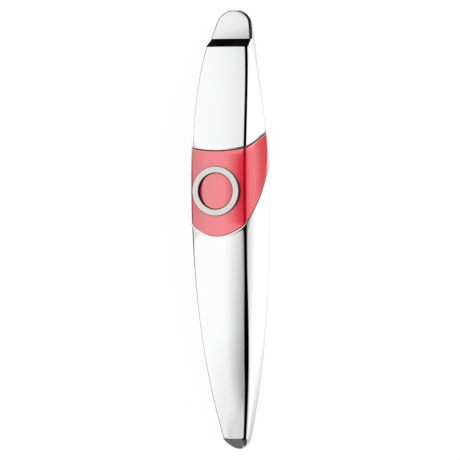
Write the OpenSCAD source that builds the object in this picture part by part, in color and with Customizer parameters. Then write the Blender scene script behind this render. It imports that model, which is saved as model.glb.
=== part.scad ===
// Heated eye massager wand, lying on its back. +X runs to the head, +Z out of the button.
// Distances along the wand, called u, are measured from its fullest section towards the head.

/* [Body outline] */
// Fullest section to tail tip
tail_length = 86; // [86:1:106]
// Fullest section to head tip
head_length = 54; // [54:1:65]
// Width of the front face between its creases, at the fullest section
face_w = 17.9; // [17:0.1:22]
// Width of the front face at the tail, before its end is rounded
tail_end_w = 6; // [5:0.1:7.2]
// Width of the front face at the head, before its tip is rounded
head_end_w = 8.2; // [7:0.1:10]
// How late the width falls away towards the tail
tail_power = 2.8; // [2.4:0.1:3.4]
// How late the width falls away towards the head
head_power = 3.6; // [3:0.1:4.2]
// Height of the creases above the table, at the fullest section
crease_h = 23; // [22.5:0.1:27.6]
// Bow of the front, fullest section to tail
front_tail_r = 246; // [240:1:300]
// Bow of the front, fullest section to neck
front_head_r = 125; // [120:1:150]
// Bow of the back, resting place to tail
back_tail_r = 800; // [700:10:900]
// Bow of the back, resting place to head
back_head_r = 310; // [290:10:340]
// Where the back is lowest, from the fullest section
rest_u = -19; // [-21:1:-17]
// How much of the back is ground flat to rest on
rest_cut = 0.45; // [0.35:0.05:0.55]
// Crown of the front face, as a share of its half width
crown_share = 0.223; // [0.1:0.01:0.25]
// Bulge of the sides, as a share of the depth
bulge_share = 0.1; // [0.06:0.01:0.12]
// Setback of the creases' rounding
crease_r = 0.9; // [0.5:0.1:1.2]
// Wall of the shells and of the band
wall = 1.5; // [1.25:0.05:1.8]

/* [Head and neck] */
// Length of the heated plate
plate_length = 9.1; // [8:0.1:11]
// Length of the step down to the plate
neck_length = 2.6; // [2:0.1:3.1]
// Height of the step down to the plate
neck_drop = 4.1; // [3.4:0.1:4.4]
// Thickness of the heated plate
plate_t = 0.8; // [0.65:0.05:0.9]
// Upright thickness of the insulating collar on the step
collar_t = 1.5; // [1.2:0.1:1.8]
// Slope of the plate where it leaves the step
plate_slope = 0.55; // [0.45:0.05:0.6]
// Slope of the plate at its tip
tip_slope = 0.2; // [0.15:0.05:0.35]
// Length over which the tip is rounded
tip_round = 3.5; // [2.5:0.1:4.2]
// Length of the bevel under the tail
tail_bevel = 3.3; // [2.7:0.1:4]
// Slope of the bevel under the tail
bevel_slope = 1.6; // [1.3:0.05:1.7]

/* [Band and seals] */
// Band's head end at the crease, from the fullest section
band_top_u = 9.6; // [8:0.1:10.5]
// Slope of the band's head end
band_top_slope = 0.41; // [0.35:0.01:0.46]
// How much that slant eases off towards the back
band_top_bend = 0.0067; // [0.004:0.0001:0.008]
// Band's tail end at the crease, from the fullest section
band_low_u = -14.6; // [-17:0.1:-14.3]
// Slope of the band's tail end
band_low_slope = 1.15; // [1.1:0.01:1.2]
// Extra droop of the band's tail end over the crown
band_dip = 0.18; // [0.1:0.01:0.2]
// Thickness of each seal
seal_t = 0.35; // [0.3:0.05:0.5]
// How far a seal sits below the surface
seal_inset = 0.25; // [0.1:0.05:0.4]
// Gap between the battery cover and its seal
cover_gap = 0.05; // [0.05:0.05:0.15]
// Wall of the coupling sleeve
sleeve_wall = 1.2; // [1:0.1:1.45]
// Gap round the coupling sleeve
sleeve_gap = 0.15; // [0.1:0.05:0.25]
// How far the sleeve reaches into the battery cover
sleeve_reach = 8; // [6.7:0.1:9.6]

/* [Button] */
// Button centre, from the fullest section
button_u = -3.7; // [-5:0.1:-3]
// Outer diameter of the bezel ring
bezel_d = 15.6; // [13.8:0.1:15.8]
// Inner diameter of the bezel ring
bezel_bore = 11.8; // [9.8:0.1:12.2]
// Bezel's top above the creases
bezel_top = 2.2; // [2.2:0.05:2.5]
// Height of the bezel ring
bezel_h = 3.3; // [3:0.1:3.6]
// Gap between the button and the bezel, and between the bezel and the band
button_gap = 0.13; // [0.1:0.01:0.2]
// Height of the button's flange
flange_h = 0.9; // [0.8:0.1:1.1]
// Travel of the button
button_travel = 0.6; // [0.3:0.1:0.7]

/* [Battery] */
// Diameter of the cell
cell_d = 10.5; // [9:0.1:10.8]
// Length of the cell, with its nub
cell_length = 44.5; // [37:0.1:45.5]
// Height of the cell's axis above the table
cell_z = 9.6; // [9.5:0.1:10]
// Cell's nub, from the fullest section
cell_u = -14; // [-16:0.1:-14]
// Free length of the contact spring
spring_length = 4.1; // [3.6:0.1:4.5]
// Turns of the contact spring
spring_turns = 4; // [3:1:4]
// Wire of the contact spring
spring_wire = 0.5; // [0.4:0.05:0.5]
// Wall of the cradle
cradle_wall = 0.8; // [0.7:0.05:0.9]

/* [Electronics] */
// Length of the circuit board
board_length = 26.5; // [25:0.5:28]
// Width of the circuit board
board_w = 13; // [12.5:0.1:13.4]
// Thickness of the circuit board
board_t = 1.2; // [1:0.1:1.4]
// Height of the switch body
switch_h = 3.5; // [3:0.1:4]
// Side of the switch body
switch_w = 6; // [5:0.1:6.6]
// Diameter of the switch's plunger
plunger_d = 3.4; // [2.8:0.1:4]

/* [Motor] */
// Diameter of the motor
motor_d = 7; // [6:0.1:7.1]
// Length of the motor
motor_length = 13; // [11:0.1:13.2]
// Motor's rear face, from the fullest section
motor_u = 22; // [21:0.1:22.2]
// Height of the motor's axis above the table
motor_z = 11.3; // [11.2:0.05:11.4]
// Thickness of the rubber boot
boot_t = 0.8; // [0.6:0.05:0.8]
// Radius of the eccentric weight
weight_r = 3.2; // [2.7:0.1:3.4]
// Length of the eccentric weight
weight_length = 3.6; // [3:0.1:3.8]
// Diameter of the motor's shaft
shaft_d = 1.5; // [1.2:0.1:1.8]

/* [Hidden] */

// Points round half of a section: over the crown, round the crease, down the side, under the back
crown_n = 4;
round_n = 3;
flank_n = 3;
back_n = 6;
half_n = crown_n + round_n + flank_n + back_n;
ring_n = 2 * half_n;
curve_fn = 64;

// Shares that set the form of every section
belly_share = 0.44;
back_power = 4;
bulge_fade = [2, 40];
bulge_left = 0.15;
head_crown = 0.5;
back_ease_u = 30;
// How far below the creases the dip in the band's tail end starts
dip_fall = 2;
tip_left = 0.1;
seat_gap = 0.05;
seat_round = 0.05;
cut_steps = 5;

waist_x = (tail_length - head_length) / 2;
step_u = head_length - plate_length - neck_length;
plate_u = head_length - plate_length;
round_u = head_length - tip_round;
tail_reach = tail_length / pow(1 - tail_end_w / face_w, 1 / tail_power);
head_reach = head_length / pow(1 - head_end_w / face_w, 1 / head_power);

// ---- The wand's surface ----

function sag(u, r) = r - sqrt(r * r - u * u);
function mix(a, b, s) = a + (b - a) * s;
function ease(s) = let (c = min(1, max(0, s))) c * c * (3 - 2 * c);
function quarter(s) = s <= 0 ? 1 : max(tip_left, sqrt(max(0, 1 - s * s)));

// How much of the width the rounded tail and tip leave
function end_round(u) = quarter((u - head_length + tip_round) / tip_round)
    * quarter((-u - tail_length + tail_bevel) / tail_bevel);

function face_half(u) = face_w / 2 * end_round(u)
    * (1 - (u < 0 ? pow(-u / tail_reach, tail_power) : pow(u / head_reach, head_power)));

function front_z(u) = crease_h - sag(u, u < 0 ? front_tail_r : front_head_r);

// Height of the creases: the tail bevel, the bowed front, the step, and the hollowed plate
function crease_z(u) =
    let (bevel_u = tail_bevel - tail_length, d = u - plate_u)
    u < bevel_u ? front_z(bevel_u) - bevel_slope * (bevel_u - u) :
    u <= step_u ? front_z(u) :
    u < plate_u ? front_z(step_u) - neck_drop * (u - step_u) / neck_length :
    front_z(step_u) - neck_drop - plate_slope * d + (plate_slope - tip_slope) * d * d / (2 * plate_length);

// Height of the back, before the resting face is cut
function back_z(u) =
    let (lead = back_ease_u - rest_u, past = u - back_ease_u,
         rise = lead / sqrt(back_head_r * back_head_r - lead * lead))
    (u < rest_u ? sag(u - rest_u, back_tail_r) :
     u < back_ease_u ? sag(u - rest_u, back_head_r) :
     sag(lead, back_head_r) + rise * past * (1 - past / (2 * (head_length - back_ease_u)))) - rest_cut;

function crown_at(u) = crown_share * face_half(u) * (u > step_u ? head_crown : 1);
function bulge_at(u) = bulge_share * (crease_z(u) - back_z(u))
    * mix(1, bulge_left, ease((u - bulge_fade[0]) / (bulge_fade[1] - bulge_fade[0])));

// Point k of a section [y, z], clockwise from the middle of its crown
function section_point(k, w, zc, zb, bulge, crown, r) =
    let (j = k <= half_n ? k : ring_n - k, side = k <= half_n ? 1 : -1, depth = zc - zb,
         belly = belly_share * depth, rr = min(r, 0.45 * belly, 0.3 * w), round_j = crown_n + round_n)
    j <= crown_n ?
        let (y = (w - rr) * j / crown_n) [side * y, zc + crown * (1 - y * y / (w * w))] :
    j <= round_j ?
        let (s = (j - crown_n) / round_n, y1 = w - rr, z1 = zc + crown * (1 - y1 * y1 / (w * w)),
             y2 = w + bulge * (1 - pow(1 - rr / belly, 2)))
        [side * (pow(1 - s, 2) * y1 + 2 * s * (1 - s) * w + s * s * y2),
         pow(1 - s, 2) * z1 + 2 * s * (1 - s) * zc + s * s * (zc - rr)] :
    j <= round_j + flank_n ?
        let (t = mix(rr, belly, (j - round_j) / flank_n))
        [side * (w + bulge * (1 - pow(1 - t / belly, 2))), zc - t] :
        let (a = 90 * (j - round_j - flank_n) / back_n,
             q = pow(pow(cos(a), back_power) + pow(sin(a), back_power), -1 / back_power))
        [side * (w + bulge) * q * cos(a), zc - belly - (depth - belly) * q * sin(a)];

// Point k of the wand's surface at u, moved inwards by inset, with its front lowered by seat
function skin(u, k, inset = 0, seat = 0) =
    let (p = section_point(k, face_half(u) - inset, crease_z(u) - inset - seat, back_z(u) + inset,
             bulge_at(u), crown_at(u), seat > 0 ? seat_round : crease_r))
    [u + waist_x, p[0], max(inset, p[1])];

// Where the band ends, as a distance along the wand at height z
function band_end(z, head) =
    let (fall = crease_h - z, above_dip = max(0, dip_fall - fall))
    head ? band_top_u + band_top_slope * fall - band_top_bend * fall * fall
         : band_low_u + band_low_slope * fall - band_dip * above_dip * above_dip;

// Distance along the wand at which point k of the surface meets the band's end, moved by shift
function cut_u(k, head, inset, shift, u = 0, n = cut_steps) =
    n == 0 ? u + shift : cut_u(k, head, inset, shift, band_end(skin(u, k, inset)[2], head), n - 1);

function ring(u, inset = 0, seat = 0) = [for (k = [0:ring_n - 1]) skin(u, k, inset, seat)];
function ring_to_cut(u, s, head, inset, shift) =
    [for (k = [0:ring_n - 1]) skin(mix(u, cut_u(k, head, inset, shift), s), k, inset)];
function ring_in_band(s, inset, low_shift, top_shift) =
    [for (k = [0:ring_n - 1])
        skin(mix(cut_u(k, false, inset, low_shift), cut_u(k, true, inset, top_shift), s), k, inset)];

// ---- Solids made from rings of points ----

function flat_list(rings) = [for (r = rings) each r];
function strip_faces(m, n, from, turn) =
    [for (i = [0:m - 2], k = [0:n - 1])
        let (a = from + i * n + k, b = from + i * n + (k + 1) % n, c = b + n, d = a + n)
        each (turn ? [[a, c, b], [a, d, c]] : [[a, b, c], [a, c, d]])];
function cap_face(n, from, turn) = [for (k = [0:n - 1]) from + (turn ? n - 1 - k : k)];

// A hollow body: outer and inner rings from the closed end, or the first rim, to the other rim
module hollow(outer, inner, closed) {
    n = len(outer[0]);
    m = len(outer);
    tailward = outer[0][0][0] > outer[m - 1][0][0];
    rim_a = rim_faces(n, 0, m * n, !tailward);
    rim_b = rim_faces(n, (m - 1) * n, (m + len(inner) - 1) * n, tailward);
    polyhedron(concat(flat_list(outer), flat_list(inner)),
        concat(strip_faces(m, n, 0, tailward), strip_faces(len(inner), n, m * n, !tailward),
            closed ? [cap_face(n, 0, !tailward), cap_face(n, m * n, tailward)] : rim_a, rim_b));
}

// Faces between an outer ring and an inner one at a rim
function rim_faces(n, from_o, from_i, turn) =
    [for (k = [0:n - 1])
        let (a = from_o + k, b = from_o + (k + 1) % n, c = from_i + (k + 1) % n, d = from_i + k)
        each (turn ? [[a, d, c], [a, c, b]] : [[a, c, d], [a, b, c]])];

// A solid through rings of points, closed at both ends; turn when the rings run tailward or follow a wire
module tube(rings, turn = false) {
    n = len(rings[0]);
    polyhedron(flat_list(rings), concat(strip_faces(len(rings), n, 0, turn),
        [cap_face(n, 0, !turn), cap_face(n, (len(rings) - 1) * n, turn)]));
}

// The end of a layer, whose ring has as many points above as below, in strips from one to the other
function layer_cap(n, from, turn) =
    [for (i = [0:n / 2 - 2])
        let (a = from + i, b = a + 1, d = from + n - 1 - i, c = d - 1)
        each (turn ? [[a, c, b], [a, d, c]] : [[a, b, c], [a, c, d]])];

// A layer through rings of points, closed at both ends
module layer(rings) {
    n = len(rings[0]);
    polyhedron(flat_list(rings), concat(strip_faces(len(rings), n, 0, false),
        layer_cap(n, 0, true), layer_cap(n, (len(rings) - 1) * n, false)));
}

module at_waist() {
    translate([waist_x, 0, 0]) children();
}

// A cylinder along X, from u and with its axis at height z
module rod(u, z, d, length) {
    at_waist() translate([u, 0, z]) rotate([0, 90, 0]) cylinder(d = d, h = length, $fn = curve_fn);
}

// A box from u, centred on y, from height z
module block(u, z, size, y = 0) {
    at_waist() translate([u, y - size[1] / 2, z]) cube(size);
}

// ---- Heights and places worked out from the sizes above ----

film_t = 0.15;
layer_gap = 0.03;
film_end_gap = 1.6;
film_side_gap = 0.9;
pad_end_gap = 0.3;
pad_side_gap = 0.1;
seat_depth = collar_t + seat_gap;
ledge_run = 0.02;
ramp_run = 1.5;
cavity_left = 0.9;
front_fall = 0.6;
plate_edge_share = 0.8;

bezel_base_z = crease_h + bezel_top - bezel_h;
flange_gap = 0.05;
flange_base_z = bezel_base_z - flange_gap - flange_h;
flange_lip = 0.8;
cap_sink = 0.1;
plunger_rise = 2 * button_travel;
plunger_depth = 1.6;
plunger_fit = 0.05;
plunger_spare = 0.2;
switch_top_z = flange_base_z - plunger_rise;
board_top_z = switch_top_z - switch_h;
board_base_z = board_top_z - board_t;
board_u = cell_u + 1;

standoff_h = 0.6;
deck_top_z = board_base_z - standoff_h;
deck_t = 1.2;
deck_half_w = board_w / 2 + 1;
deck_end_u = motor_u - 1.6;
bulkhead_t = 1.2;
contact_t = 0.4;
strip_t = 0.3;
strip_w = 3;
strip_fit = 0.05;
strip_end_h = 2.6;
keel_w = 2;
keel_raise = 4;
bulkhead_raise = 0.6;
spine_length = 3.4;
foot_w = 4;
foot_length = 5;
foot_past_sleeve = 4.6;
nub_d = 3.8;
nub_h = 0.8;
cell_slack = 0.2;
cradle_r = cell_d / 2 + cell_slack + cradle_wall;
cradle_base_z = cell_z - cradle_r;
cell_end_u = cell_u - cell_length;
spring_plate_u = cell_end_u - spring_length - contact_t;
cradle_end_u = cell_end_u - 2.3;
end_wall_t = 1.2;
end_wall_u = spring_plate_u - strip_t - end_wall_t;
bulkhead_u = cell_u + contact_t;
riser_u = bulkhead_u + bulkhead_t;

sleeve_u = band_low_u - sleeve_reach;
sleeve_end_u = button_u + bezel_d / 2 + 3;
sleeve_foot_z = cell_z - 1.6;
sleeve_inset = wall + sleeve_gap;

screw_d = 1.6;
screw_head_d = 2.8;
screw_head_h = 0.8;
board_screw_end = 2;
board_screw_side = 2;
lug_u = button_u - 8.3;
lug_length = 4;
lug_h = 3.6;
lug_w = 2.6;
lug_top_z = deck_top_z - 0.6;
sleeve_screw_u = lug_u + lug_length / 2;
sleeve_screw_z = lug_top_z - lug_h / 2;

motor_r = motor_d / 2;
boot_r = motor_r + boot_t;
motor_end_u = motor_u + motor_length;
saddle_half_w = boot_r + 0.1;
saddle_base_z = back_z(motor_end_u) + wall + 0.15;
saddle_top_z = motor_z - 2.3;
shaft_out = 5.4;
shaft_in = 3;
weight_gap = 1;
lead_d = 0.8;
slot_u = plate_u + 0.2;
slot_length = 1.4;
slot_half_w = 2;

cavity_depth = crease_z(plate_u) - seat_depth - back_z(plate_u) - 2 * wall;
cavity_end_u = plate_u + max(0.3, (cavity_depth - cavity_left) / front_fall);

// ---- Shells ----

nose_steps = 9;
plate_steps = 6;
lower_steps = 16;
upper_steps = 12;
band_steps = 8;
end_steps = 5;

// Stations close together towards a rounded end, from one distance along the wand to another
function closing(from, to) = [for (i = [1:end_steps]) mix(to, from, pow(1 - i / end_steps, 2))];
function reversed(list) = [for (i = [len(list) - 1:-1:0]) list[i]];

// Rings of the battery cover, from just past the tail bevel to its rim
function cover_rings(inset, from, steps) =
    [for (i = [0:steps]) ring_to_cut(from, i / steps, false, inset, -seal_t - cover_gap)];

// Battery cover, with the bevel under its tail, open at its rim
module lower_shell() {
    color("gainsboro") {
        bevel_u = tail_bevel - tail_length;
        tail = [for (i = [0:end_steps - 1]) ring(mix(-tail_length, bevel_u, 1 - pow(1 - i / end_steps, 2)))];
        outer = concat(tail, cover_rings(0, bevel_u, lower_steps));
        inner = cover_rings(wall, bevel_u + wall, lower_steps);
        hollow(outer, inner, true);
    }
}

// Rings of the front casing up to the step, from its rim
function casing_rings(inset, to, steps) =
    [for (i = [0:steps]) ring_to_cut(to, 1 - i / steps, true, inset, seal_t)];

// Front casing: rim at the band, then the seat of the collar and plate, closed at the head's tip
module upper_shell() {
    color("gainsboro") {
        ledge_u = step_u - seat_gap;
        seated = concat([ledge_u], [for (i = [0:nose_steps]) mix(plate_u, round_u, i / nose_steps)],
            closing(round_u, head_length));
        outer = concat(casing_rings(0, ledge_u - ledge_run, upper_steps),
            [for (u = seated) ring(u, 0, seat_depth)]);
        inner = concat(casing_rings(wall, ledge_u - 2 * ramp_run, upper_steps),
            [for (u = [ledge_u - wall, plate_u - wall / 2, cavity_end_u]) ring(u, wall, seat_depth)]);
        difference() {
            hollow(reversed(outer), reversed(inner), true);
            lead_slot();
        }
    }
}

// Way for the leads, from the casing up to the heater film
module lead_slot() {
    block(slot_u, back_z(slot_u) + 2 * wall, [slot_length, 2 * slot_half_w, neck_drop + collar_t]);
}

// Coloured grip band round the waist, with its hole for the bezel
module grip_band() {
    color([0.93, 0.45, 0.48]) {
        outer = [for (i = [0:band_steps]) ring_in_band(i / band_steps, 0, 0, 0)];
        inner = [for (i = [0:band_steps]) ring_in_band(i / band_steps, wall, 0, 0)];
        difference() {
            hollow(outer, inner, false);
            at_waist() translate([button_u, 0, crease_h / 2])
                cylinder(d = bezel_d + 2 * button_gap, h = crease_h, $fn = curve_fn);
        }
    }
}

// A ring on the flat rim at one end of the band, a share of the wall's thickness in from the outside
function rim_ring(head, share, shift) =
    [for (k = [0:ring_n - 1])
        mix(skin(cut_u(k, head, 0, shift), k), skin(cut_u(k, head, wall, shift), k, wall), share)];

// A seal between two shift values at one end of the band
module seal(head, from, to) {
    outer = [rim_ring(head, seal_inset / wall, from), rim_ring(head, seal_inset / wall, to)];
    inner = [ring_to_cut(0, 1, head, wall, from), ring_to_cut(0, 1, head, wall, to)];
    color("dimgray") hollow(outer, inner, false);
}

module lower_seal() {
    seal(false, -seal_t, -seat_gap);
}

module upper_seal() {
    seal(true, seat_gap, seal_t);
}

// ---- Head ----

// Height of the crowned front at u and y, lowered by drop
function front_at(u, y, drop) = crease_z(u) - drop + crown_at(u) * (1 - pow(y / face_half(u), 2));

// A ring of a layer that follows the crowned front, between two drops, inset from the sides
function layer_ring(u, inset, top, base, n = 4) =
    let (half = max(0.2, face_half(u) - inset))
    concat([for (i = [-n:n]) [u + waist_x, half * i / n, front_at(u, half * i / n, top)]],
        [for (i = [n:-1:-n]) [u + waist_x, half * i / n, front_at(u, half * i / n, base)]]);

// A ring of a rounded layer: the outside's crown and crease above, and a face at drop base below
function rounded_ring(u, base) =
    let (edge = crown_n + round_n, w = face_half(u), r = plate_edge_share * min(base, plate_t),
         above = [for (k = [-edge:edge])
            section_point(k < 0 ? k + ring_n : k, w, crease_z(u), back_z(u), bulge_at(u), crown_at(u), r)],
         narrowing = w / abs(above[0][0]))
    concat([for (p = above) [u + waist_x, p[0], p[1]]],
        [for (i = [2 * edge:-1:0])
            let (y = above[i][0] * narrowing) [u + waist_x, y, front_at(u, y, base)]]);

// Black insulating collar down the step between the casing and the plate
module neck_collar() {
    color([0.06, 0.06, 0.06]) layer([for (u = [step_u, plate_u - seat_gap]) rounded_ring(u, collar_t)]);
}

// Polished heated plate
module head_plate() {
    stations = concat([for (i = [0:plate_steps]) mix(plate_u, round_u, i / plate_steps)],
        closing(round_u, head_length));
    color("silver") layer([for (u = stations) rounded_ring(u, plate_t)]);
}

// Stations of the layers under the plate
function layer_stations(end_gap) =
    [for (i = [0:plate_steps]) mix(plate_u, head_length - end_gap, i / plate_steps)];

// Printed film heater, against the plate's underside
module heater_film() {
    color("chocolate") layer([for (u = layer_stations(film_end_gap))
        layer_ring(u, film_side_gap, plate_t + layer_gap, plate_t + film_t)]);
}

// Black silicone pad that keeps the plate's heat out of the casing
module insulation_pad() {
    color([0.1, 0.1, 0.1]) difference() {
        layer([for (u = layer_stations(pad_end_gap))
            layer_ring(u, pad_side_gap, plate_t + film_t + layer_gap, collar_t)]);
        lead_slot();
    }
}

// Glass bead thermistor, in the lead slot under the film
module thermistor() {
    bead_d = 1;
    bead_length = 1.6;
    u = slot_u + slot_length / 2;
    color("orangered") at_waist()
        translate([u, -bead_length / 2, front_at(u, bead_length / 2, collar_t) - bead_d / 4])
        rotate([-90, 0, 0]) cylinder(d = bead_d, h = bead_length, $fn = curve_fn);
}

// ---- Button ----

module at_button(z) {
    at_waist() translate([button_u, 0, z]) children();
}

// Outline of the crowned front across the wand, down to height base
function crown_outline(u, half, base, n = 10) =
    let (crown = [for (i = [-n:n]) [half * i / n, front_at(u, half * i / n, cap_sink)]])
    concat([[-half, base]], crown, [[half, base]]);

module button_bezel() {
    color("silver") at_button(bezel_base_z) difference() {
        cylinder(d = bezel_d, h = bezel_h, $fn = curve_fn);
        translate([0, 0, -1]) cylinder(d = bezel_bore, h = bezel_h + 2, $fn = curve_fn);
    }
}

// Button disc, crowned as the band is, with the flange that keeps it under the bezel
module button_cap() {
    cap_d = bezel_bore - 2 * button_gap;
    color([0.93, 0.5, 0.52]) {
        intersection() {
            at_button(flange_base_z) cylinder(d = cap_d, h = crease_h, $fn = curve_fn);
            at_button(0) translate([-cap_d, 0, 0]) rotate([90, 0, 90])
                linear_extrude(2 * cap_d) polygon(crown_outline(button_u, cap_d / 2 + 1, flange_base_z));
        }
        at_button(flange_base_z) cylinder(d = bezel_bore + 2 * flange_lip, h = flange_h, $fn = curve_fn);
    }
}

module switch_plunger() {
    color("white") at_button(flange_base_z - plunger_rise - plunger_depth)
        cylinder(d = plunger_d, h = plunger_rise + plunger_depth, $fn = curve_fn);
}

module switch_body() {
    well = plunger_depth + button_travel + plunger_spare;
    color([0.15, 0.15, 0.15]) difference() {
        block(button_u - switch_w / 2, board_top_z, [switch_w, switch_w, switch_h]);
        at_button(switch_top_z - well)
            cylinder(d = plunger_d + 2 * plunger_fit, h = well + 1, $fn = curve_fn);
    }
}

// ---- Sleeve, chassis and screws ----

// Outline of the sleeve's section, moved inwards by inset, as [y, z]
function sleeve_outline(inset) =
    [for (k = [0:ring_n - 1]) let (p = skin(sleeve_u, k, inset)) [p[1], p[2]]];

// Arch-shaped coupling sleeve: its tail end is the spigot that the battery cover slides over
module coupling_sleeve() {
    length = sleeve_end_u - sleeve_u;
    color("white") difference() {
        at_waist() translate([sleeve_u, 0, 0]) rotate([90, 0, 90]) linear_extrude(length)
            polygon(sleeve_outline(sleeve_inset));
        at_waist() translate([sleeve_u - 1, 0, 0]) rotate([90, 0, 90]) linear_extrude(length + 2)
            polygon(sleeve_outline(sleeve_inset + sleeve_wall));
        block(sleeve_u - 1, -1, [length + 2, 4 * deck_half_w, sleeve_foot_z + 1]);
        at_button(0) cylinder(d = bezel_bore + 2 * flange_lip + 0.5, h = 2 * crease_h, $fn = curve_fn);
        at_button(bezel_base_z - flange_gap) cylinder(d = bezel_d + 0.3, h = crease_h, $fn = curve_fn);
        for (side = [-1, 1]) sleeve_screw(side, 0.05, screw_head_h);
    }
}

// Widest half of the sleeve's outside at the height of its screws
sleeve_side_y = max([for (p = sleeve_outline(sleeve_inset)) p[0]]) - 0.15;
lug_side_y = sleeve_side_y - sleeve_wall - 0.15;

// A screw through one side of the sleeve into the chassis, larger all round by grow
module sleeve_screw(side, grow = 0, head_more = 0) {
    at_waist() translate([sleeve_screw_u, side * (sleeve_side_y - screw_head_h), sleeve_screw_z])
        rotate([-90 * side, 0, 0]) {
            translate([0, 0, -3]) cylinder(d = screw_d + 2 * grow, h = 3.01, $fn = curve_fn);
            cylinder(d = screw_head_d + 2 * grow, h = screw_head_h + head_more, $fn = curve_fn);
        }
}

module sleeve_screws() {
    color("dimgray") for (side = [-1, 1]) sleeve_screw(side);
}

// Places of the board's screws, as [u, y]
board_screw_us = [board_u + board_screw_end, board_u + board_length - board_screw_end];
board_screw_places = [for (u = board_screw_us, side = [-1, 1]) [u, side * (board_w / 2 - board_screw_side)]];

module board_holes() {
    for (p = board_screw_places)
        at_waist() translate([p[0], p[1], deck_top_z - 2 * deck_t])
            cylinder(d = screw_d, h = 3 * deck_t + board_t + standoff_h, $fn = curve_fn);
}

module board_screws() {
    color("dimgray") for (p = board_screw_places) at_waist() translate([p[0], p[1], 0]) {
        translate([0, 0, deck_top_z - deck_t])
            cylinder(d = screw_d, h = board_top_z - deck_top_z + deck_t, $fn = curve_fn);
        translate([0, 0, board_top_z]) cylinder(d = screw_head_d, h = screw_head_h, $fn = curve_fn);
    }
}

// Trough under the cell
module cell_trough() {
    length = bulkhead_u + bulkhead_t - cradle_end_u;
    difference() {
        rod(cradle_end_u, cell_z, 2 * cradle_r, length);
        rod(cradle_end_u - 1, cell_z, cell_d + 2 * cell_slack, length + 2);
        block(cradle_end_u - 1, cell_z, [length + 2, 3 * cradle_r, 2 * cradle_r]);
    }
}

// Chassis: cell trough, its end wall, bulkhead, board deck, foot and motor saddle in one moulding
module chassis() {
    spine_u = deck_end_u - spine_length;
    foot_u = sleeve_end_u + foot_past_sleeve;
    foot_z = back_z(foot_u + foot_length) + wall + seat_gap;
    floor_z = cradle_base_z + bulkhead_raise;
    keel_z = cradle_base_z + keel_raise;
    saddle_length = motor_end_u - deck_end_u - 1.6;
    channel_length = riser_u - end_wall_u + 1 + strip_t + strip_fit;
    channel_w = strip_w + 2 * strip_fit;
    color([0.85, 0.85, 0.82]) difference() {
        union() {
            cell_trough();
            block(end_wall_u, cradle_base_z, [cradle_end_u - end_wall_u + 0.5, 6.8, 1.25]);
            block(end_wall_u, cradle_base_z, [end_wall_t, 8, cell_z - cradle_base_z + 2.4]);
            block(bulkhead_u, floor_z, [bulkhead_t, 2 * cradle_r - 1.5, deck_top_z - floor_z]);
            block(bulkhead_u, deck_top_z - deck_t, [deck_end_u - bulkhead_u, 2 * deck_half_w, deck_t]);
            block(bulkhead_u, keel_z, [deck_end_u - bulkhead_u, keel_w, deck_top_z - keel_z]);
            block(foot_u, foot_z, [foot_length, foot_w, deck_top_z - deck_t / 2 - foot_z]);
            block(spine_u, saddle_base_z, [spine_length, foot_w, deck_top_z - saddle_base_z]);
            block(deck_end_u - 0.4, saddle_base_z,
                [saddle_length, 2 * saddle_half_w, saddle_top_z - saddle_base_z]);
            for (side = [-1, 1])
                block(lug_u, lug_top_z - lug_h, [lug_length, lug_w, lug_h], side * (lug_side_y - lug_w / 2));
            for (p = board_screw_places) at_waist() translate([p[0], p[1], deck_top_z - deck_t])
                cylinder(d = screw_head_d, h = deck_t + standoff_h, $fn = curve_fn);
        }
        rod(deck_end_u - 1, motor_z, 2 * (boot_r + seat_gap), motor_length + 4);
        board_holes();
        for (side = [-1, 1]) sleeve_screw(side);
        block(end_wall_u - 1, cradle_base_z - 1, [channel_length, channel_w, 1 + strip_t + strip_fit]);
        block(riser_u, cradle_base_z, [strip_t + strip_fit, channel_w, crease_h]);
        block(spring_plate_u - strip_t, cradle_base_z, [strip_t + strip_fit, channel_w, strip_end_h + 0.4]);
    }
}

// ---- Battery and contacts ----

module battery_cell() {
    color("steelblue") {
        rod(cell_end_u, cell_z, cell_d, cell_length - nub_h);
        rod(cell_u - nub_h - 0.2, cell_z, nub_d, nub_h + 0.2);
    }
}

spring_turn_rings = 8;
spring_sides = 6;
spring_wide_r = 3.3;
spring_narrow_r = 2.2;
spring_lift = 0.02;
spring_seat_x = waist_x + spring_plate_u + contact_t + spring_wire / 2 + spring_lift;
spring_run = spring_length - spring_wire - 2 * spring_lift;
function spring_centre(s) =
    let (a = 360 * spring_turns * s, r = mix(spring_wide_r, spring_narrow_r, s))
    [spring_seat_x + spring_run * s, r * cos(a), cell_z + r * sin(a)];
spring_rings = spring_turns * spring_turn_rings;
spring_points = [for (i = [0:spring_rings]) spring_centre(i / spring_rings)];

// A ring of a wire of diameter d at p, square to the direction t
function wire_ring(p, t, d, n) =
    let (dir = t / norm(t), ref = abs(dir[0]) < 0.8 ? [1, 0, 0] : [0, 0, 1],
         a = cross(dir, ref) / norm(cross(dir, ref)), b = cross(dir, a))
    [for (i = [0:n - 1]) p + d / 2 * (cos(360 * i / n) * a + sin(360 * i / n) * b)];

function wire_rings(points, d, n) =
    let (m = len(points))
    [for (i = [0:m - 1]) wire_ring(points[i], points[min(m - 1, i + 1)] - points[max(0, i - 1)], d, n)];

// Conical contact spring, wound from one tube
module contact_spring() {
    color("silver") tube(wire_rings(spring_points, spring_wire, spring_sides), true);
}

// Least gap between the turns of the spring, measured on its points
spring_gap = min([for (i = [0:len(spring_points) - 1], j = [i + 6:1:len(spring_points) - 1])
    norm(spring_points[i] - spring_points[j])]) - spring_wire;
echo(spring_gap = spring_gap);

module spring_plate() {
    side = 2 * spring_wide_r + 0.8;
    color("gold") block(spring_plate_u, cell_z - side / 2, [contact_t, side, side]);
}

// Positive contact, with its tab under the board
module nub_plate() {
    color("gold") {
        block(cell_u, cell_z - 3, [contact_t, 5, board_base_z - cell_z + 3]);
        block(cell_u, board_base_z - contact_t, [riser_u - cell_u - 0.3, 5, contact_t]);
    }
}

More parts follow.
